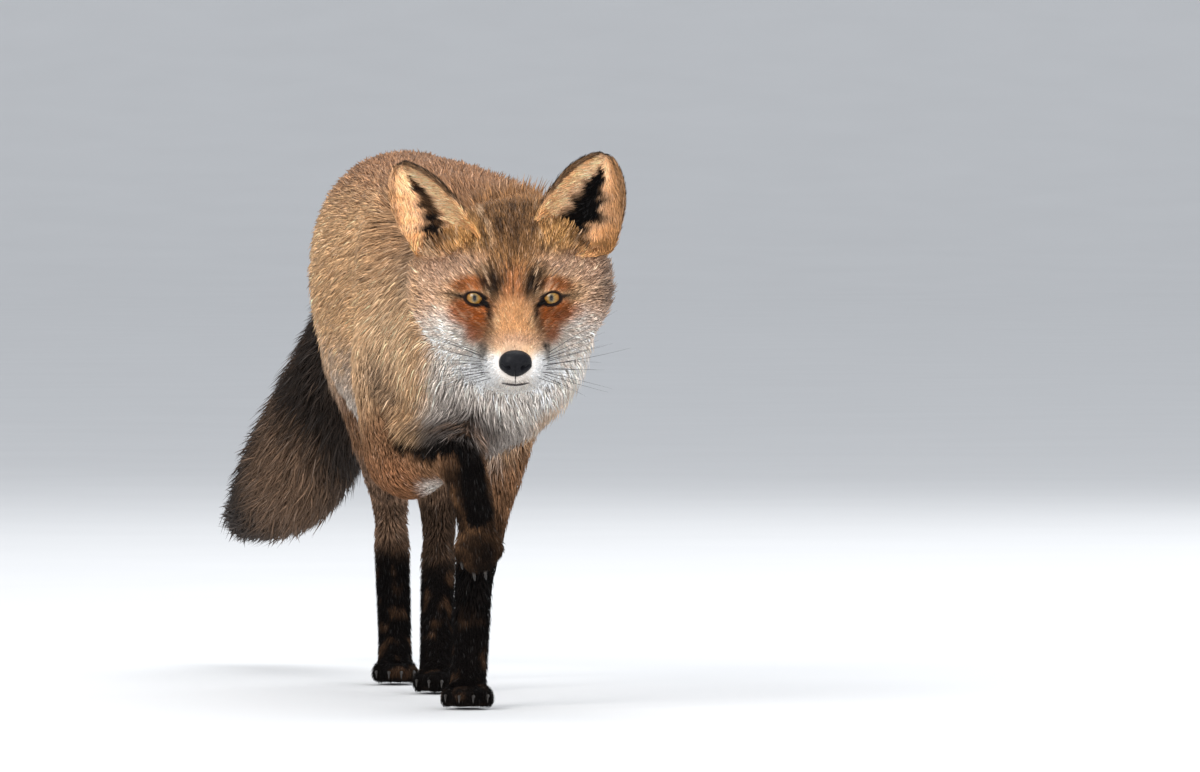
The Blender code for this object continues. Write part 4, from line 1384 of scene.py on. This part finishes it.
def colour_tufts(coat, under, lock, measures, rng):
    """The markings' colour where the tuft is seen, with dark and pale hairs among it."""
    count = len(coat.root)
    hair, _ = markings(coat.root * 0.4 + under * 0.6, coat.normal, coat.weights)
    tone = HAIR_TONE * np.exp(0.19 * rng.standard_normal(count) + 0.10 * noise(coat.root, 0.006, 70))
    tone = tone * (1 + 0.10 * (lattice(coat.root[lock] * 1e5, 3)))
    hair = hair * tone[:, None]
    luck = rng.random(count)
    dark, pale = luck < measures[:, 4], luck > 1 - measures[:, 5]
    hair[dark] *= DARK_HAIR
    grey = hair.mean(1, keepdims=True)
    hair[pale] = hair[pale] * 1.1 + 0.25 * grey[pale] * np.array([1.25, 1.0, 0.8]) + 0.02
    # strong colours keep their hue where they are pale
    peak, least = hair.max(1), hair.min(1)
    strong = smoothstep(0.10, 0.25, (peak - least) / np.maximum(peak, 1e-6)) * (peak > 0.55)
    hair = hair * (1 - strong + strong * (0.0825 + 0.85 * peak) / np.maximum(peak, 1e-6))[:, None]
    coat.colour = np.clip(hair, 0.003, 0.95)
    # painted shade towards each tuft's root and painted light at its tip; short hair and the muzzle get less
    # of the shade
    short = smoothstep(0.010, 0.005, coat.length)
    coat.root_shade = 0.66 + 0.12 * rng.random(count) + 0.22 * short + 0.12 * coat.muzzle
    coat.tip_shade = 1.0 + 0.18 * rng.random(count)


def grow_tufts(sizes):
    """Spreads the tufts over the skin and gives each its length, lie, tip and colour."""
    rng = np.random.default_rng(sizes.seed)
    points, directions, weights = made["points"], made["normals"], made["weights"]
    table = np.array([tuft_row(name) for name in ZONES])
    number = tuft_numbers(points, directions, weights, table)
    full = sizes.fullness * 1.0
    blend, unwrap = spread(number * 1e4 * full, rng)

    coat = Coat()
    coat.unwrap, coat.root = unwrap, blend(points)
    coat.normal, coat.weights = unit(blend(directions)), blend(weights)
    coat.zone, coat.head = np.argmax(coat.weights, axis=1), zone(coat.weights, "head")
    coat.muzzle = coat.head * smoothstep(25, 50, to_head(coat.root)[:, 1] * MM)
    count = len(coat.root)
    measures = coat.weights @ table
    ragged = measures[:, 3]
    head_length, head_width, _ = face_measures(coat.root)
    length = measures[:, 0] + coat.head * (head_length - TUFTS["head"][0])
    width = measures[:, 1] + coat.head * (head_width - TUFTS["head"][1])
    coat.length = length * np.clip(1 + 1.2 * ragged * rng.standard_normal(count), 0.55, 1.5)
    coat.width = width * rng.uniform(0.75, 1.3, count) * (1 if full > 0.5 else 1.5)
    lie = blend(made["lie"]) + ragged[:, None] * rng.standard_normal((count, 3))
    lie = unit(lie - coat.normal * np.sum(lie * coat.normal, axis=1, keepdims=True))

    # each tip stands over the skin one length along the lie, so that the tuft follows the form
    under, out = coat.root + lie * coat.length[:, None], coat.normal.copy()
    for i in range(count):
        place, normal, _, _ = made["tree"].find_nearest(under[i])
        under[i], out[i] = place, normal
    out = unit(out + coat.normal)
    rise = tip_heights(coat, blend(made["depth"][:, None])[:, 0], rng)
    coat.tip = under + out * rise[:, None]
    lock = draw_into_locks(coat, rng)
    coat.tip[:, 2] = np.maximum(coat.tip[:, 2], TIP_FLOOR)
    coat.middle = (coat.root + under) / 2 + unit(out + coat.normal) * (rise * 0.72)[:, None]
    colour_tufts(coat, under, lock, measures, rng)
    return coat


def near_tree(points):
    """For finding the nearest of the points."""
    tree = KDTree(len(points))
    for i, point in enumerate(points):
        tree.insert(point, i)
    tree.balance()
    return tree


# corners of a tuft: three at its root, three at its bend if it has one, the tip
STRAIGHT_FACES = ((0, 1, 3), (1, 2, 3), (2, 0, 3), (2, 1, 0))
BENT_FACES = ((0, 1, 4, 3), (1, 2, 5, 4), (2, 0, 3, 5), (3, 4, 6), (4, 5, 6), (5, 3, 6), (2, 1, 0))
# where these corners lie on the tuft's patch of the unwrap
ROOT_MARKS = ((-0.5, -0.5), (0.5, -0.5), (0.0, -0.4))
BEND_MARKS = ((-0.4, 0.1), (0.4, 0.1), (0.0, 0.15))
TIP_MARK = ((0.0, 0.5),)


def tuft_mesh(name, coat, chosen):
    """Closed three-sided spikes, the longer ones bent once, with their colours and bake patches; also
    gives how many triangles they have."""
    root, normal = coat.root[chosen], coat.normal[chosen]
    tip, mid, width = coat.tip[chosen], coat.middle[chosen], coat.width[chosen]
    colour, low, high = coat.colour[chosen], coat.root_shade[chosen], coat.tip_shade[chosen]
    bent = coat.length[chosen] > LONG
    along = unit(tip - root)
    side = unit(np.cross(along, normal))
    patch = np.clip(coat.unwrap[chosen], 0.002, 0.998)
    verts, loops, sizes, colours, uvs, lies = [], [], [], [], [], []
    base = 0
    for is_bent in (False, True):
        pick = np.flatnonzero(bent == is_bent)
        if not len(pick):
            continue
        r, n, t, s, w = root[pick], normal[pick], tip[pick], side[pick], width[pick, None]
        foot = r - n * ROOT_DEPTH
        rings = [np.stack([foot - s * w / 2, foot + s * w / 2, foot + n * w * 0.4], 1)]
        shades = [np.repeat(low[pick, None], 3, 1)]
        marks, faces = ROOT_MARKS + TIP_MARK, STRAIGHT_FACES
        if is_bent:
            m = mid[pick]
            up = unit(np.cross(s, unit(t - r)))
            rings.append(np.stack([m - s * w * 0.45, m + s * w * 0.45, m + up * w * 0.4], 1))
            shades.append(np.repeat(((low + 2 * high)[pick, None] / 3), 3, 1))
            marks, faces = ROOT_MARKS + BEND_MARKS + TIP_MARK, BENT_FACES
        rings.append(t[:, None])
        shades.append(high[pick, None])
        block = np.concatenate(rings, 1)
        each = block.shape[1]
        shade = np.concatenate(shades, 1)
        mark = np.array(marks)
        start = base + np.arange(len(pick))[:, None] * each
        pattern = np.concatenate([np.array(f) for f in faces])
        verts.append(block.reshape(-1, 3))
        loops.append((start + pattern).ravel())
        sizes.append(np.tile([len(f) for f in faces], len(pick)))
        colours.append((colour[pick, None] * shade[:, :, None]).reshape(-1, 3))
        uvs.append((patch[pick, None] + mark[pattern][None] * BAKE_PATCH).reshape(-1, 2))
        lies.append(np.repeat(along[pick], each, 0))
        base += each * len(pick)
    verts, loops, sizes = np.concatenate(verts), np.concatenate(loops), np.concatenate(sizes)
    mesh = bpy.data.meshes.new(name)
    mesh.vertices.add(len(verts))
    mesh.vertices.foreach_set("co", verts.astype(np.float32).ravel())
    mesh.loops.add(len(loops))
    mesh.loops.foreach_set("vertex_index", loops.astype(np.int32))
    mesh.polygons.add(len(sizes))
    mesh.polygons.foreach_set("loop_start", (np.cumsum(sizes) - sizes).astype(np.int32))
    mesh.polygons.foreach_set("use_smooth", np.ones(len(sizes), bool))
    mesh.update(calc_edges=True)
    unwrap = mesh.uv_layers.new(name="OFBake")
    unwrap.uv.foreach_set("vector", np.concatenate(uvs).astype(np.float32).ravel())
    paint(mesh, "coat_colour", np.clip(np.concatenate(colours), 0, 1))
    store(mesh, "lie", "FLOAT_VECTOR", "vector", np.concatenate(lies))
    return mesh, int(np.sum(sizes - 2))


# pieces of the coat: name, slot, the regions it covers
COAT_PIECES = (
    ("coat_neck", "tan_coat", ("neck",)),
    ("coat_trunk", "red_coat", ("trunk",)),
    ("coat_tail", "black_coat", ("tail",)),
    ("coat_thighs", "tan_coat", ("hindleg_left_thigh", "hindleg_right_thigh")),
    ("coat_forelegs", "black_coat", tuple(z for z in ZONES if z.startswith("foreleg"))),
    ("coat_hindlegs", "black_coat", tuple(z for z in ZONES if z.endswith(("shank", "foot")))),
    ("coat_ears", "tan_coat", EARS),
)


class FOX_OT_coat(bpy.types.Operator):
    """Grows the coat in tufts that follow its lie, one piece to each side of each region"""

    bl_idname = "fox.coat"
    bl_label = "Coat"

    def execute(self, context):
        coat = grow_tufts(context.scene.fox_sizes)
        fur = hair_material("fur", 1500.0, 0.0, 0.0)
        local, pose = to_head(coat.root), to_pose(coat.root)
        head = coat.zone == ZONES.index("head")
        pieces = [("coat_face", "tan_coat", head & (local[:, 1] > FACE_BACK)),
                  ("coat_head", "tan_coat", head & (local[:, 1] <= FACE_BACK))]
        for name, slot, zones in COAT_PIECES:
            pieces.append((name, slot, np.isin(coat.zone, [ZONES.index(z) for z in zones])))
        # a limb's tufts belong to its own side, the others to the side of the spine that they are on
        left = np.where(head, local[:, 0] > 0, pose[:, 0] > np.interp(pose[:, 1], *SPINE))
        limb_side = ["left" if "left" in z else "right" if "right" in z else "" for z in ZONES]
        limb_side = np.array(limb_side)[coat.zone]
        left = np.where(limb_side == "", left, limb_side == "left")
        for name, slot, mask in pieces:
            for side, half in (("left", left), ("right", ~left)):
                chosen = np.flatnonzero(mask & half)
                if not len(chosen):
                    raise RuntimeError(f"{name} has no tufts on its {side}")
                mesh, triangles = tuft_mesh(f"{name}_{side}", coat, chosen)
                if triangles > MOST_TRIANGLES:
                    raise RuntimeError(f"{name}_{side} has {triangles} triangles")
                give(link(f"{name}_{side}", mesh), fur, slot)
        return {"FINISHED"}


# ---------------------------------------------------------------- eyes
# the turn away from the gaze, in radians, and the colour there
IRIS_RINGS = (
    (0.000, (0.004, 0.004, 0.006)), (0.215, (0.006, 0.006, 0.008)), (0.245, (0.07, 0.055, 0.03)),
    (0.330, (0.165, 0.115, 0.050)), (0.450, (0.26, 0.135, 0.027)), (0.600, (0.20, 0.085, 0.015)),
    (0.665, (0.07, 0.030, 0.009)), (0.720, (0.012, 0.008, 0.006)), (1.000, (0.03, 0.02, 0.018)),
)
CORNEA_EDGE = 0.68         # the turn where the bulge over the iris ends
CORNEA_BULGE = 0.0007


def eye_material():
    """Amber iris round a small pupil, streaked from the middle, under a wet clear coat."""
    material, nodes, links, shader = new_material(
        "wet_amber_eye", Roughness=0.12, Specular_IOR_Level=0.1, Coat_Weight=1.0, Coat_Roughness=0.02,
        Coat_IOR=1.38)
    place = add_node(nodes, "Attribute", attribute_name="gaze_place")
    parts = add_node(nodes, "SeparateXYZ")
    flat = add_node(nodes, "VectorMath", operation="MULTIPLY")
    flat.inputs[1].default_value = (1, 1, 0)
    outwards = add_node(nodes, "VectorMath", operation="NORMALIZE")
    streaks = add_node(nodes, "TexNoise", Scale=9.0, Detail=5.0)
    blots = add_node(nodes, "TexNoise", Scale=5.0)
    wire(links, (place, "Vector", parts, 0), (place, "Vector", flat, 0), (flat, 0, outwards, 0),
         (outwards, 0, streaks, "Vector"), (place, "Vector", blots, "Vector"))
    # the rings waver a little with the streaks
    waver = add_node(nodes, "Math", operation="MULTIPLY_ADD")
    waver.inputs[1].default_value = 0.10
    ramp = add_node(nodes, "ValToRGB")
    while len(ramp.color_ramp.elements) < len(IRIS_RINGS):
        ramp.color_ramp.elements.new(0.5)
    for element, (at, tint) in zip(ramp.color_ramp.elements, IRIS_RINGS):
        element.position, element.color = at, (*tint, 1)
    shade = add_node(nodes, "MapRange", From_Min=0.3, From_Max=0.7, To_Min=0.55, To_Max=1.25)
    blot = add_node(nodes, "MapRange", To_Min=0.75, To_Max=1.2)
    both = add_node(nodes, "Math", operation="MULTIPLY")
    tint = add_node(nodes, "VectorMath", operation="SCALE")
    wire(links, (streaks, "Fac", waver, 0), (parts, "Z", waver, 2), (waver, 0, ramp, "Fac"),
         (streaks, "Fac", shade, "Value"), (blots, "Fac", blot, "Value"),
         (shade, "Result", both, 0), (blot, "Result", both, 1),
         (ramp, "Color", tint, 0), (both, 0, tint, "Scale"), (tint, 0, shader, "Base Color"))
    return material


class FOX_OT_eyes(bpy.types.Operator):
    """Makes the two eyeballs, with a bulged cornea over each iris"""

    bl_idname = "fox.eyes"
    bl_label = "Eyes"

    def execute(self, context):
        material = eye_material()
        for side, name in ((1, "left"), (-1, "right")):
            centre, axes = eye_frame(side)
            deselect()
            bpy.ops.mesh.primitive_uv_sphere_add(segments=56, ring_count=40, radius=1.0)
            ball = take(f"eyeball_{name}")
            points = unit(corners(ball.data))
            turn = np.arccos(np.clip(points[:, 2], -1, 1))
            reach = EYE_RADIUS - 0.0003 + CORNEA_BULGE * np.clip(1 - (turn / CORNEA_EDGE) ** 2, 0, 1)
            local = np.stack([points[:, 0], points[:, 2], points[:, 1]], 1) * reach[:, None]
            place_corners(ball.data, centre + local @ axes.T)
            face_outwards(ball)
            soften(ball.data)
            # the pupil is taller than wide
            sideways = points[:, 0] ** 2 / (points[:, 0] ** 2 + points[:, 1] ** 2 + 1e-9)
            turn = turn * (1 + 0.9 * sideways * np.exp(-(turn / 0.30) ** 2))
            gaze = np.stack([points[:, 0], points[:, 1], turn], 1)
            store(ball.data, "gaze_place", "FLOAT_VECTOR", "vector", gaze)
            give(ball, material, "amber_eye", f"eye_{name}")
        return {"FINISHED"}


# ---------------------------------------------------------------- nose and mouth
def nose_material():
    """Black and finely pebbled, dull inside the nostrils and moist round them."""
    material, nodes, links, shader = new_material(
        "pebbled_black_nose", Coat_Roughness=0.30, Specular_IOR_Level=0.10)
    place = add_node(nodes, "TexCoord")
    pebbles = add_node(nodes, "TexVoronoi", Scale=1250.0)
    lift = add_node(nodes, "Bump", Strength=0.55, Distance=0.0004, invert=True)
    tone = add_node(nodes, "ValToRGB")
    tone.color_ramp.elements[0].color = (0.007, 0.007, 0.009, 1)
    tone.color_ramp.elements[1].color = (0.003, 0.003, 0.004, 1)
    rough = add_node(nodes, "MapRange", To_Min=0.34, To_Max=0.62)
    inside = add_node(nodes, "Attribute", attribute_name="hollow")
    dull = add_node(nodes, "Math", operation="MULTIPLY_ADD")
    dull.inputs[1].default_value = 0.6
    wet = add_node(nodes, "MapRange", To_Min=0.10, To_Max=0.0)
    wire(links, (place, "Object", pebbles, "Vector"), (pebbles, "Distance", lift, "Height"),
         (lift, "Normal", shader, "Normal"), (pebbles, "Distance", tone, "Fac"),
         (tone, "Color", shader, "Base Color"), (pebbles, "Distance", rough, "Value"),
         (inside, "Fac", dull, 0), (rough, "Result", dull, 2), (dull, 0, shader, "Roughness"),
         (inside, "Fac", wet, "Value"), (wet, "Result", shader, "Coat Weight"))
    return material


def nose_relief(wide, tall):
    """Nostrils with a slit curving out and up, their rims and the groove between them, in metres."""
    push = -0.0028 * hump(wide, tall, 5.1, -2.0, 1.7, 1.8)
    for step in np.linspace(0, 1, 7):
        a, b = 5.9 + 3.4 * step, -2.3 + 0.3 * step + 1.9 * step ** 2
        push = np.minimum(push, -0.0017 * (1 - 0.3 * step) * hump(wide, tall, a, b, 0.9, 0.75))
    push += 0.0007 * hump(wide, tall, 5.5, 2.6, 2.6, 1.5)
    push += 0.0005 * hump(wide, tall, 3.2, -1.6, 1.0, 2.2)
    return push - 0.0009 * np.exp(-(wide / 0.55) ** 2) * smoothstep(2.5, -0.5, tall)


class FOX_OT_nose(bpy.types.Operator):
    """Makes the nose pad, with comma-shaped nostrils and a groove down its middle"""

    bl_idname = "fox.nose"
    bl_label = "Nose"

    def execute(self, context):
        low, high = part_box("nose")
        half = (high - low) / 2
        deselect()
        bpy.ops.mesh.primitive_uv_sphere_add(segments=96, ring_count=64, radius=1.0)
        nose = take("nose_pad")
        p = unit(corners(nose.data))
        x, y, z = p[:, 0], p[:, 1], p[:, 2]
        shape = np.stack([np.sign(x) * np.abs(x) ** 0.90, y, np.sign(z) * np.abs(z) ** 0.90], 1)
        shape[:, 0] *= 1.0 - 0.26 * smoothstep(0.15, 1.0, -z)
        local = shape * np.array([half.x * 1.02, half.y, half.z * 0.94])
        out = unit(shape / np.array(half))
        push = nose_relief(np.abs(local[:, 0] * MM), local[:, 2] * MM) * smoothstep(0.0, 0.35, y)
        local = local + out * push[:, None]
        centre = np.array(middle("nose"))
        place_corners(nose.data, centre + (local + np.array(NOSE_SHIFT)) @ HEAD_AXES.T)
        store(nose.data, "hollow", "FLOAT", "value", smoothstep(-0.0004, -0.0015, push))
        face_outwards(nose)
        soften(nose.data)
        give(nose, nose_material(), "black_nose", "nose")
        return {"FINISHED"}


def tapered_tubes(name, tubes, sides=6):
    """One mesh of closed round tubes; each tube is its points and its radii."""
    verts, faces = [], []
    for points, radii in tubes:
        points, base = np.asarray(points, float), len(verts)
        along = unit(np.gradient(points, axis=0))
        side = unit(np.cross(along, np.array([0.31, 0.17, 0.94])))
        up = np.cross(side, along)
        for point, s, u, radius in zip(points, side, up, radii):
            for k in range(sides):
                a = 2 * math.pi * k / sides
                verts.append(point + radius * (math.cos(a) * s + math.sin(a) * u))
        rows = len(points)
        for r in range(rows - 1):
            for k in range(sides):
                j = (k + 1) % sides
                a = base + r * sides
                faces.append((a + k, a + sides + k, a + sides + j, a + j))
        faces.append(tuple(base + k for k in range(sides)))
        faces.append(tuple(base + (rows - 1) * sides + k for k in reversed(range(sides))))
    mesh = bpy.data.meshes.new(name)
    mesh.from_pydata([tuple(v) for v in verts], [], faces)
    bm = bmesh.new()
    bm.from_mesh(mesh)
    bmesh.ops.recalc_face_normals(bm, faces=bm.faces)
    bm.to_mesh(mesh)
    bm.free()
    soften(mesh)
    return link(name, mesh)


def speckled(name, low, high, scale, roughness):
    """A dark finish with a fine mottled colour and roughness."""
    material, nodes, links, shader = new_material(name)
    place = add_node(nodes, "TexCoord")
    grain = add_node(nodes, "TexNoise", Scale=scale)
    tone = add_node(nodes, "ValToRGB")
    for element, at, tint in zip(tone.color_ramp.elements, (0.35, 0.65), (low, high)):
        element.position, element.color = at, (*tint, 1)
    rough = add_node(nodes, "MapRange", To_Min=roughness[0], To_Max=roughness[1])
    wire(links, (place, "Object", grain, "Vector"), (grain, "Fac", tone, "Fac"),
         (tone, "Color", shader, "Base Color"), (grain, "Fac", rough, "Value"),
         (rough, "Result", shader, "Roughness"))
    return material


def on_skin(points, lift):
    """Head places in millimetres moved on to the skin, lifted off it by a distance: straight back in
    front of the muzzle, inwards at its sides."""
    world = np.asarray(points) / MM @ HEAD_AXES.T + np.array(HEAD.translation)
    out = []
    for point, local, off in zip(world, np.asarray(points, float), np.broadcast_to(lift, len(world))):
        sideways = min(max((abs(local[0]) - 10) / 8, 0), 1) * math.copysign(1, local[0])
        aim = Vector(HEAD_AXES @ unit(np.array([-sideways, -(1 - abs(sideways)) - 0.02, 0.0])))
        hit, normal, _, _ = made["tree"].ray_cast(Vector(point) - aim * 0.05, aim, 0.15)
        if hit is None:
            hit, normal, _, _ = made["tree"].find_nearest(Vector(point))
        out.append(np.array(hit + normal * off))
    return np.array(out)


def smooth_path(points, count):
    """The same path with many points, rounded off."""
    points = np.asarray(points, float)
    length = np.concatenate([[0], np.cumsum(np.linalg.norm(np.diff(points, axis=0), axis=1))])
    at = np.linspace(0, length[-1], count)
    out = np.stack([np.interp(at, length, points[:, k]) for k in range(3)], 1)
    for _ in range(3):
        out[1:-1] = (out[:-2] + 2 * out[1:-1] + out[2:]) / 4
    return out


def lip_paths():
    """The line of the lips on the left and on the right, sunk into the skin away from the front."""
    half = smooth_path(LIPS, 34)
    lift = 0.0004 - 0.0010 * smoothstep(8.5, 11, half[:, 0])
    return [on_skin(half * np.array([side, 1, 1]), lift) for side in (1, -1)]


class FOX_OT_mouth(bpy.types.Operator):
    """Makes the dark lips back to the corners of the mouth, and the groove below the nose"""

    bl_idname = "fox.mouth"
    bl_label = "Mouth"

    def execute(self, context):
        tubes = []
        for path in lip_paths():
            t = np.linspace(0, 1, len(path))
            tubes.append((path, 0.00082 - 0.00057 * smoothstep(0.07, 0.16, t)))
        groove = on_skin([(0, 80, -38.5 - 1.35 * k) for k in range(7)], 0.0001)
        tubes.append((groove, np.linspace(0.0004, 0.0003, 7)))
        lips = tapered_tubes("lips", tubes, 8)
        finish = speckled("dark_lips", (0.010, 0.007, 0.007), (0.024, 0.016, 0.015), 900.0, (0.35, 0.55))
        give(lips, finish, "black_nose")
        return {"FINISHED"}


# ---------------------------------------------------------------- whiskers and claws
WHISKER_RADIUS = 0.00026
BROW_WHISKER_RADIUS = 0.00020


class FOX_OT_whiskers(bpy.types.Operator):
    """Makes the whiskers of the muzzle and brow as fine tapered hairs"""

    bl_idname = "fox.whiskers"
    bl_label = "Whiskers"

    def execute(self, context):
        rng = np.random.default_rng(context.scene.fox_sizes.seed + 5)
        tubes = []
        for side in (1, -1):
            for row in range(4):
                for column in range(4):
                    root = (side * (15 + 2.6 * column), 58 - 6.5 * column, -31 - 4.2 * row)
                    rise = 0.30 - 0.24 * row + 0.10 * rng.standard_normal()
                    direction = unit(np.array([side * 1.0, -0.42 - 0.10 * column, rise]))
                    length = (0.034 + 0.011 * column) * rng.uniform(0.75, 1.15)
                    tubes.append(self.whisker(root, direction, length, WHISKER_RADIUS, rng))
            for k in range(3):
                root = (side * (17 + 4.0 * k), 4, 13 + 1.0 * k)
                direction = unit(np.array([side * (0.35 + 0.25 * k), -0.35, 0.8]))
                tubes.append(self.whisker(root, direction, 0.026 + 0.004 * k, BROW_WHISKER_RADIUS, rng))
        hairs = tapered_tubes("whiskers", tubes, 4)
        finish = speckled("whisker_black", (0.006, 0.005, 0.005), (0.020, 0.016, 0.014), 300.0, (0.30, 0.45))
        give(hairs, finish, "black_coat")
        return {"FINISHED"}

    def whisker(self, root, direction, length, radius, rng):
        """The points and radii of a hair that droops back from its root."""
        start = on_skin([root], -0.0008)[0]
        direction = HEAD_AXES @ direction
        bend = HEAD_AXES @ (np.array([0, -0.30, -0.10]) + 0.06 * rng.standard_normal(3))
        t = np.linspace(0, 1, 11)[:, None]
        points = start + length * (direction * t + bend * t ** 2 * 0.6)
        return points, radius * (1 - 0.86 * t[:, 0])


# each paw: its heel and toes from the floor under the shoulders, its upper side, its width
PAWS = (
    ((0.0115, -0.0060, 0.0090), (0.0105, -0.0560, 0.0080), (0, 0, 1), 0.0400),
    ((0.0165, -0.1085, 0.1430), (0.0206, -0.1156, 0.0962), (0, -1, -0.2), 0.0340),
    ((-0.0140, 0.2680, 0.0090), (-0.0145, 0.2200, 0.0080), (0, 0, 1), 0.0370),
    ((-0.0465, 0.4380, 0.0090), (-0.0460, 0.3900, 0.0080), (0, 0, 1), 0.0370),
)
# each claw: its place across the paw in toes, how far along the paw its toe reaches
TOES = ((-1.5, 0.62), (-0.5, 0.80), (0.5, 0.80), (1.5, 0.62))
TOE_WIDTH = 0.245          # share of the paw's width
CLAW_LENGTH = 0.0070


class FOX_OT_claws(bpy.types.Operator):
    """Makes four curved claws for each paw"""

    bl_idname = "fox.claws"
    bl_label = "Claws"

    def execute(self, context):
        tubes = []
        for heel, toes, up, width in PAWS:
            heel, toes, up = (np.array(v, float) for v in (heel, toes, up))
            along, up = unit(toes - heel), unit(up)
            length, across = np.linalg.norm(toes - heel), np.cross(along, up)
            for place, reach in TOES:
                tip = heel + along * (reach + 0.24) * length + across * place * width * TOE_WIDTH
                tip = tip + np.array(SHOULDER)
                near = tip + up * 0.0012 - along * 0.0045
                t = np.linspace(0, 1, 8)[:, None]
                curve = 0.0010 * np.sin(t * math.pi) - 0.0040 * t ** 2
                line = near + along * (CLAW_LENGTH * t) + up * curve
                line[:, 2] = np.maximum(line[:, 2], 0.0014)
                tubes.append((line, 0.0012 * (1 - t[:, 0]) ** 0.7 + 0.0002))
        claws = tapered_tubes("claws", tubes, 8)
        finish = speckled("claw_horn", (0.008, 0.006, 0.005), (0.022, 0.017, 0.013), 700.0, (0.50, 0.65))
        give(claws, finish, "black_nose")
        return {"FINISHED"}


class FOX_PT_panel(bpy.types.Panel):
    """Lists the fox's sizes, colours and pieces"""

    bl_label = "Red Fox"
    bl_idname = "FOX_PT_panel"
    bl_space_type = "VIEW_3D"
    bl_region_type = "UI"
    bl_category = "Fox"

    def draw(self, context):
        column = self.layout.column()
        for settings in (context.scene.fox_sizes, context.scene.fox_colours):
            for name in settings.__annotations__:
                column.prop(settings, name)
        for operator in OPERATORS:
            column.operator(operator.bl_idname)


OPERATORS = (FOX_OT_stage, FOX_OT_skin, FOX_OT_coat, FOX_OT_eyes, FOX_OT_nose, FOX_OT_mouth,
             FOX_OT_whiskers, FOX_OT_claws)
CLASSES = (FoxSizes, FoxColours, *OPERATORS, FOX_PT_panel)


def register():
    for cls in CLASSES:
        bpy.utils.register_class(cls)
    bpy.types.Scene.fox_sizes = PointerProperty(type=FoxSizes)
    bpy.types.Scene.fox_colours = PointerProperty(type=FoxColours)


def unregister():
    del bpy.types.Scene.fox_colours
    del bpy.types.Scene.fox_sizes
    for cls in reversed(CLASSES):
        bpy.utils.unregister_class(cls)


def main():
    register()
    bpy.ops.fox.stage()
    bpy.ops.fox.skin()
    bpy.ops.fox.coat()
    bpy.ops.fox.eyes()
    bpy.ops.fox.nose()
    bpy.ops.fox.mouth()
    bpy.ops.fox.whiskers()
    bpy.ops.fox.claws()


if __name__ == "__main__":
    main()
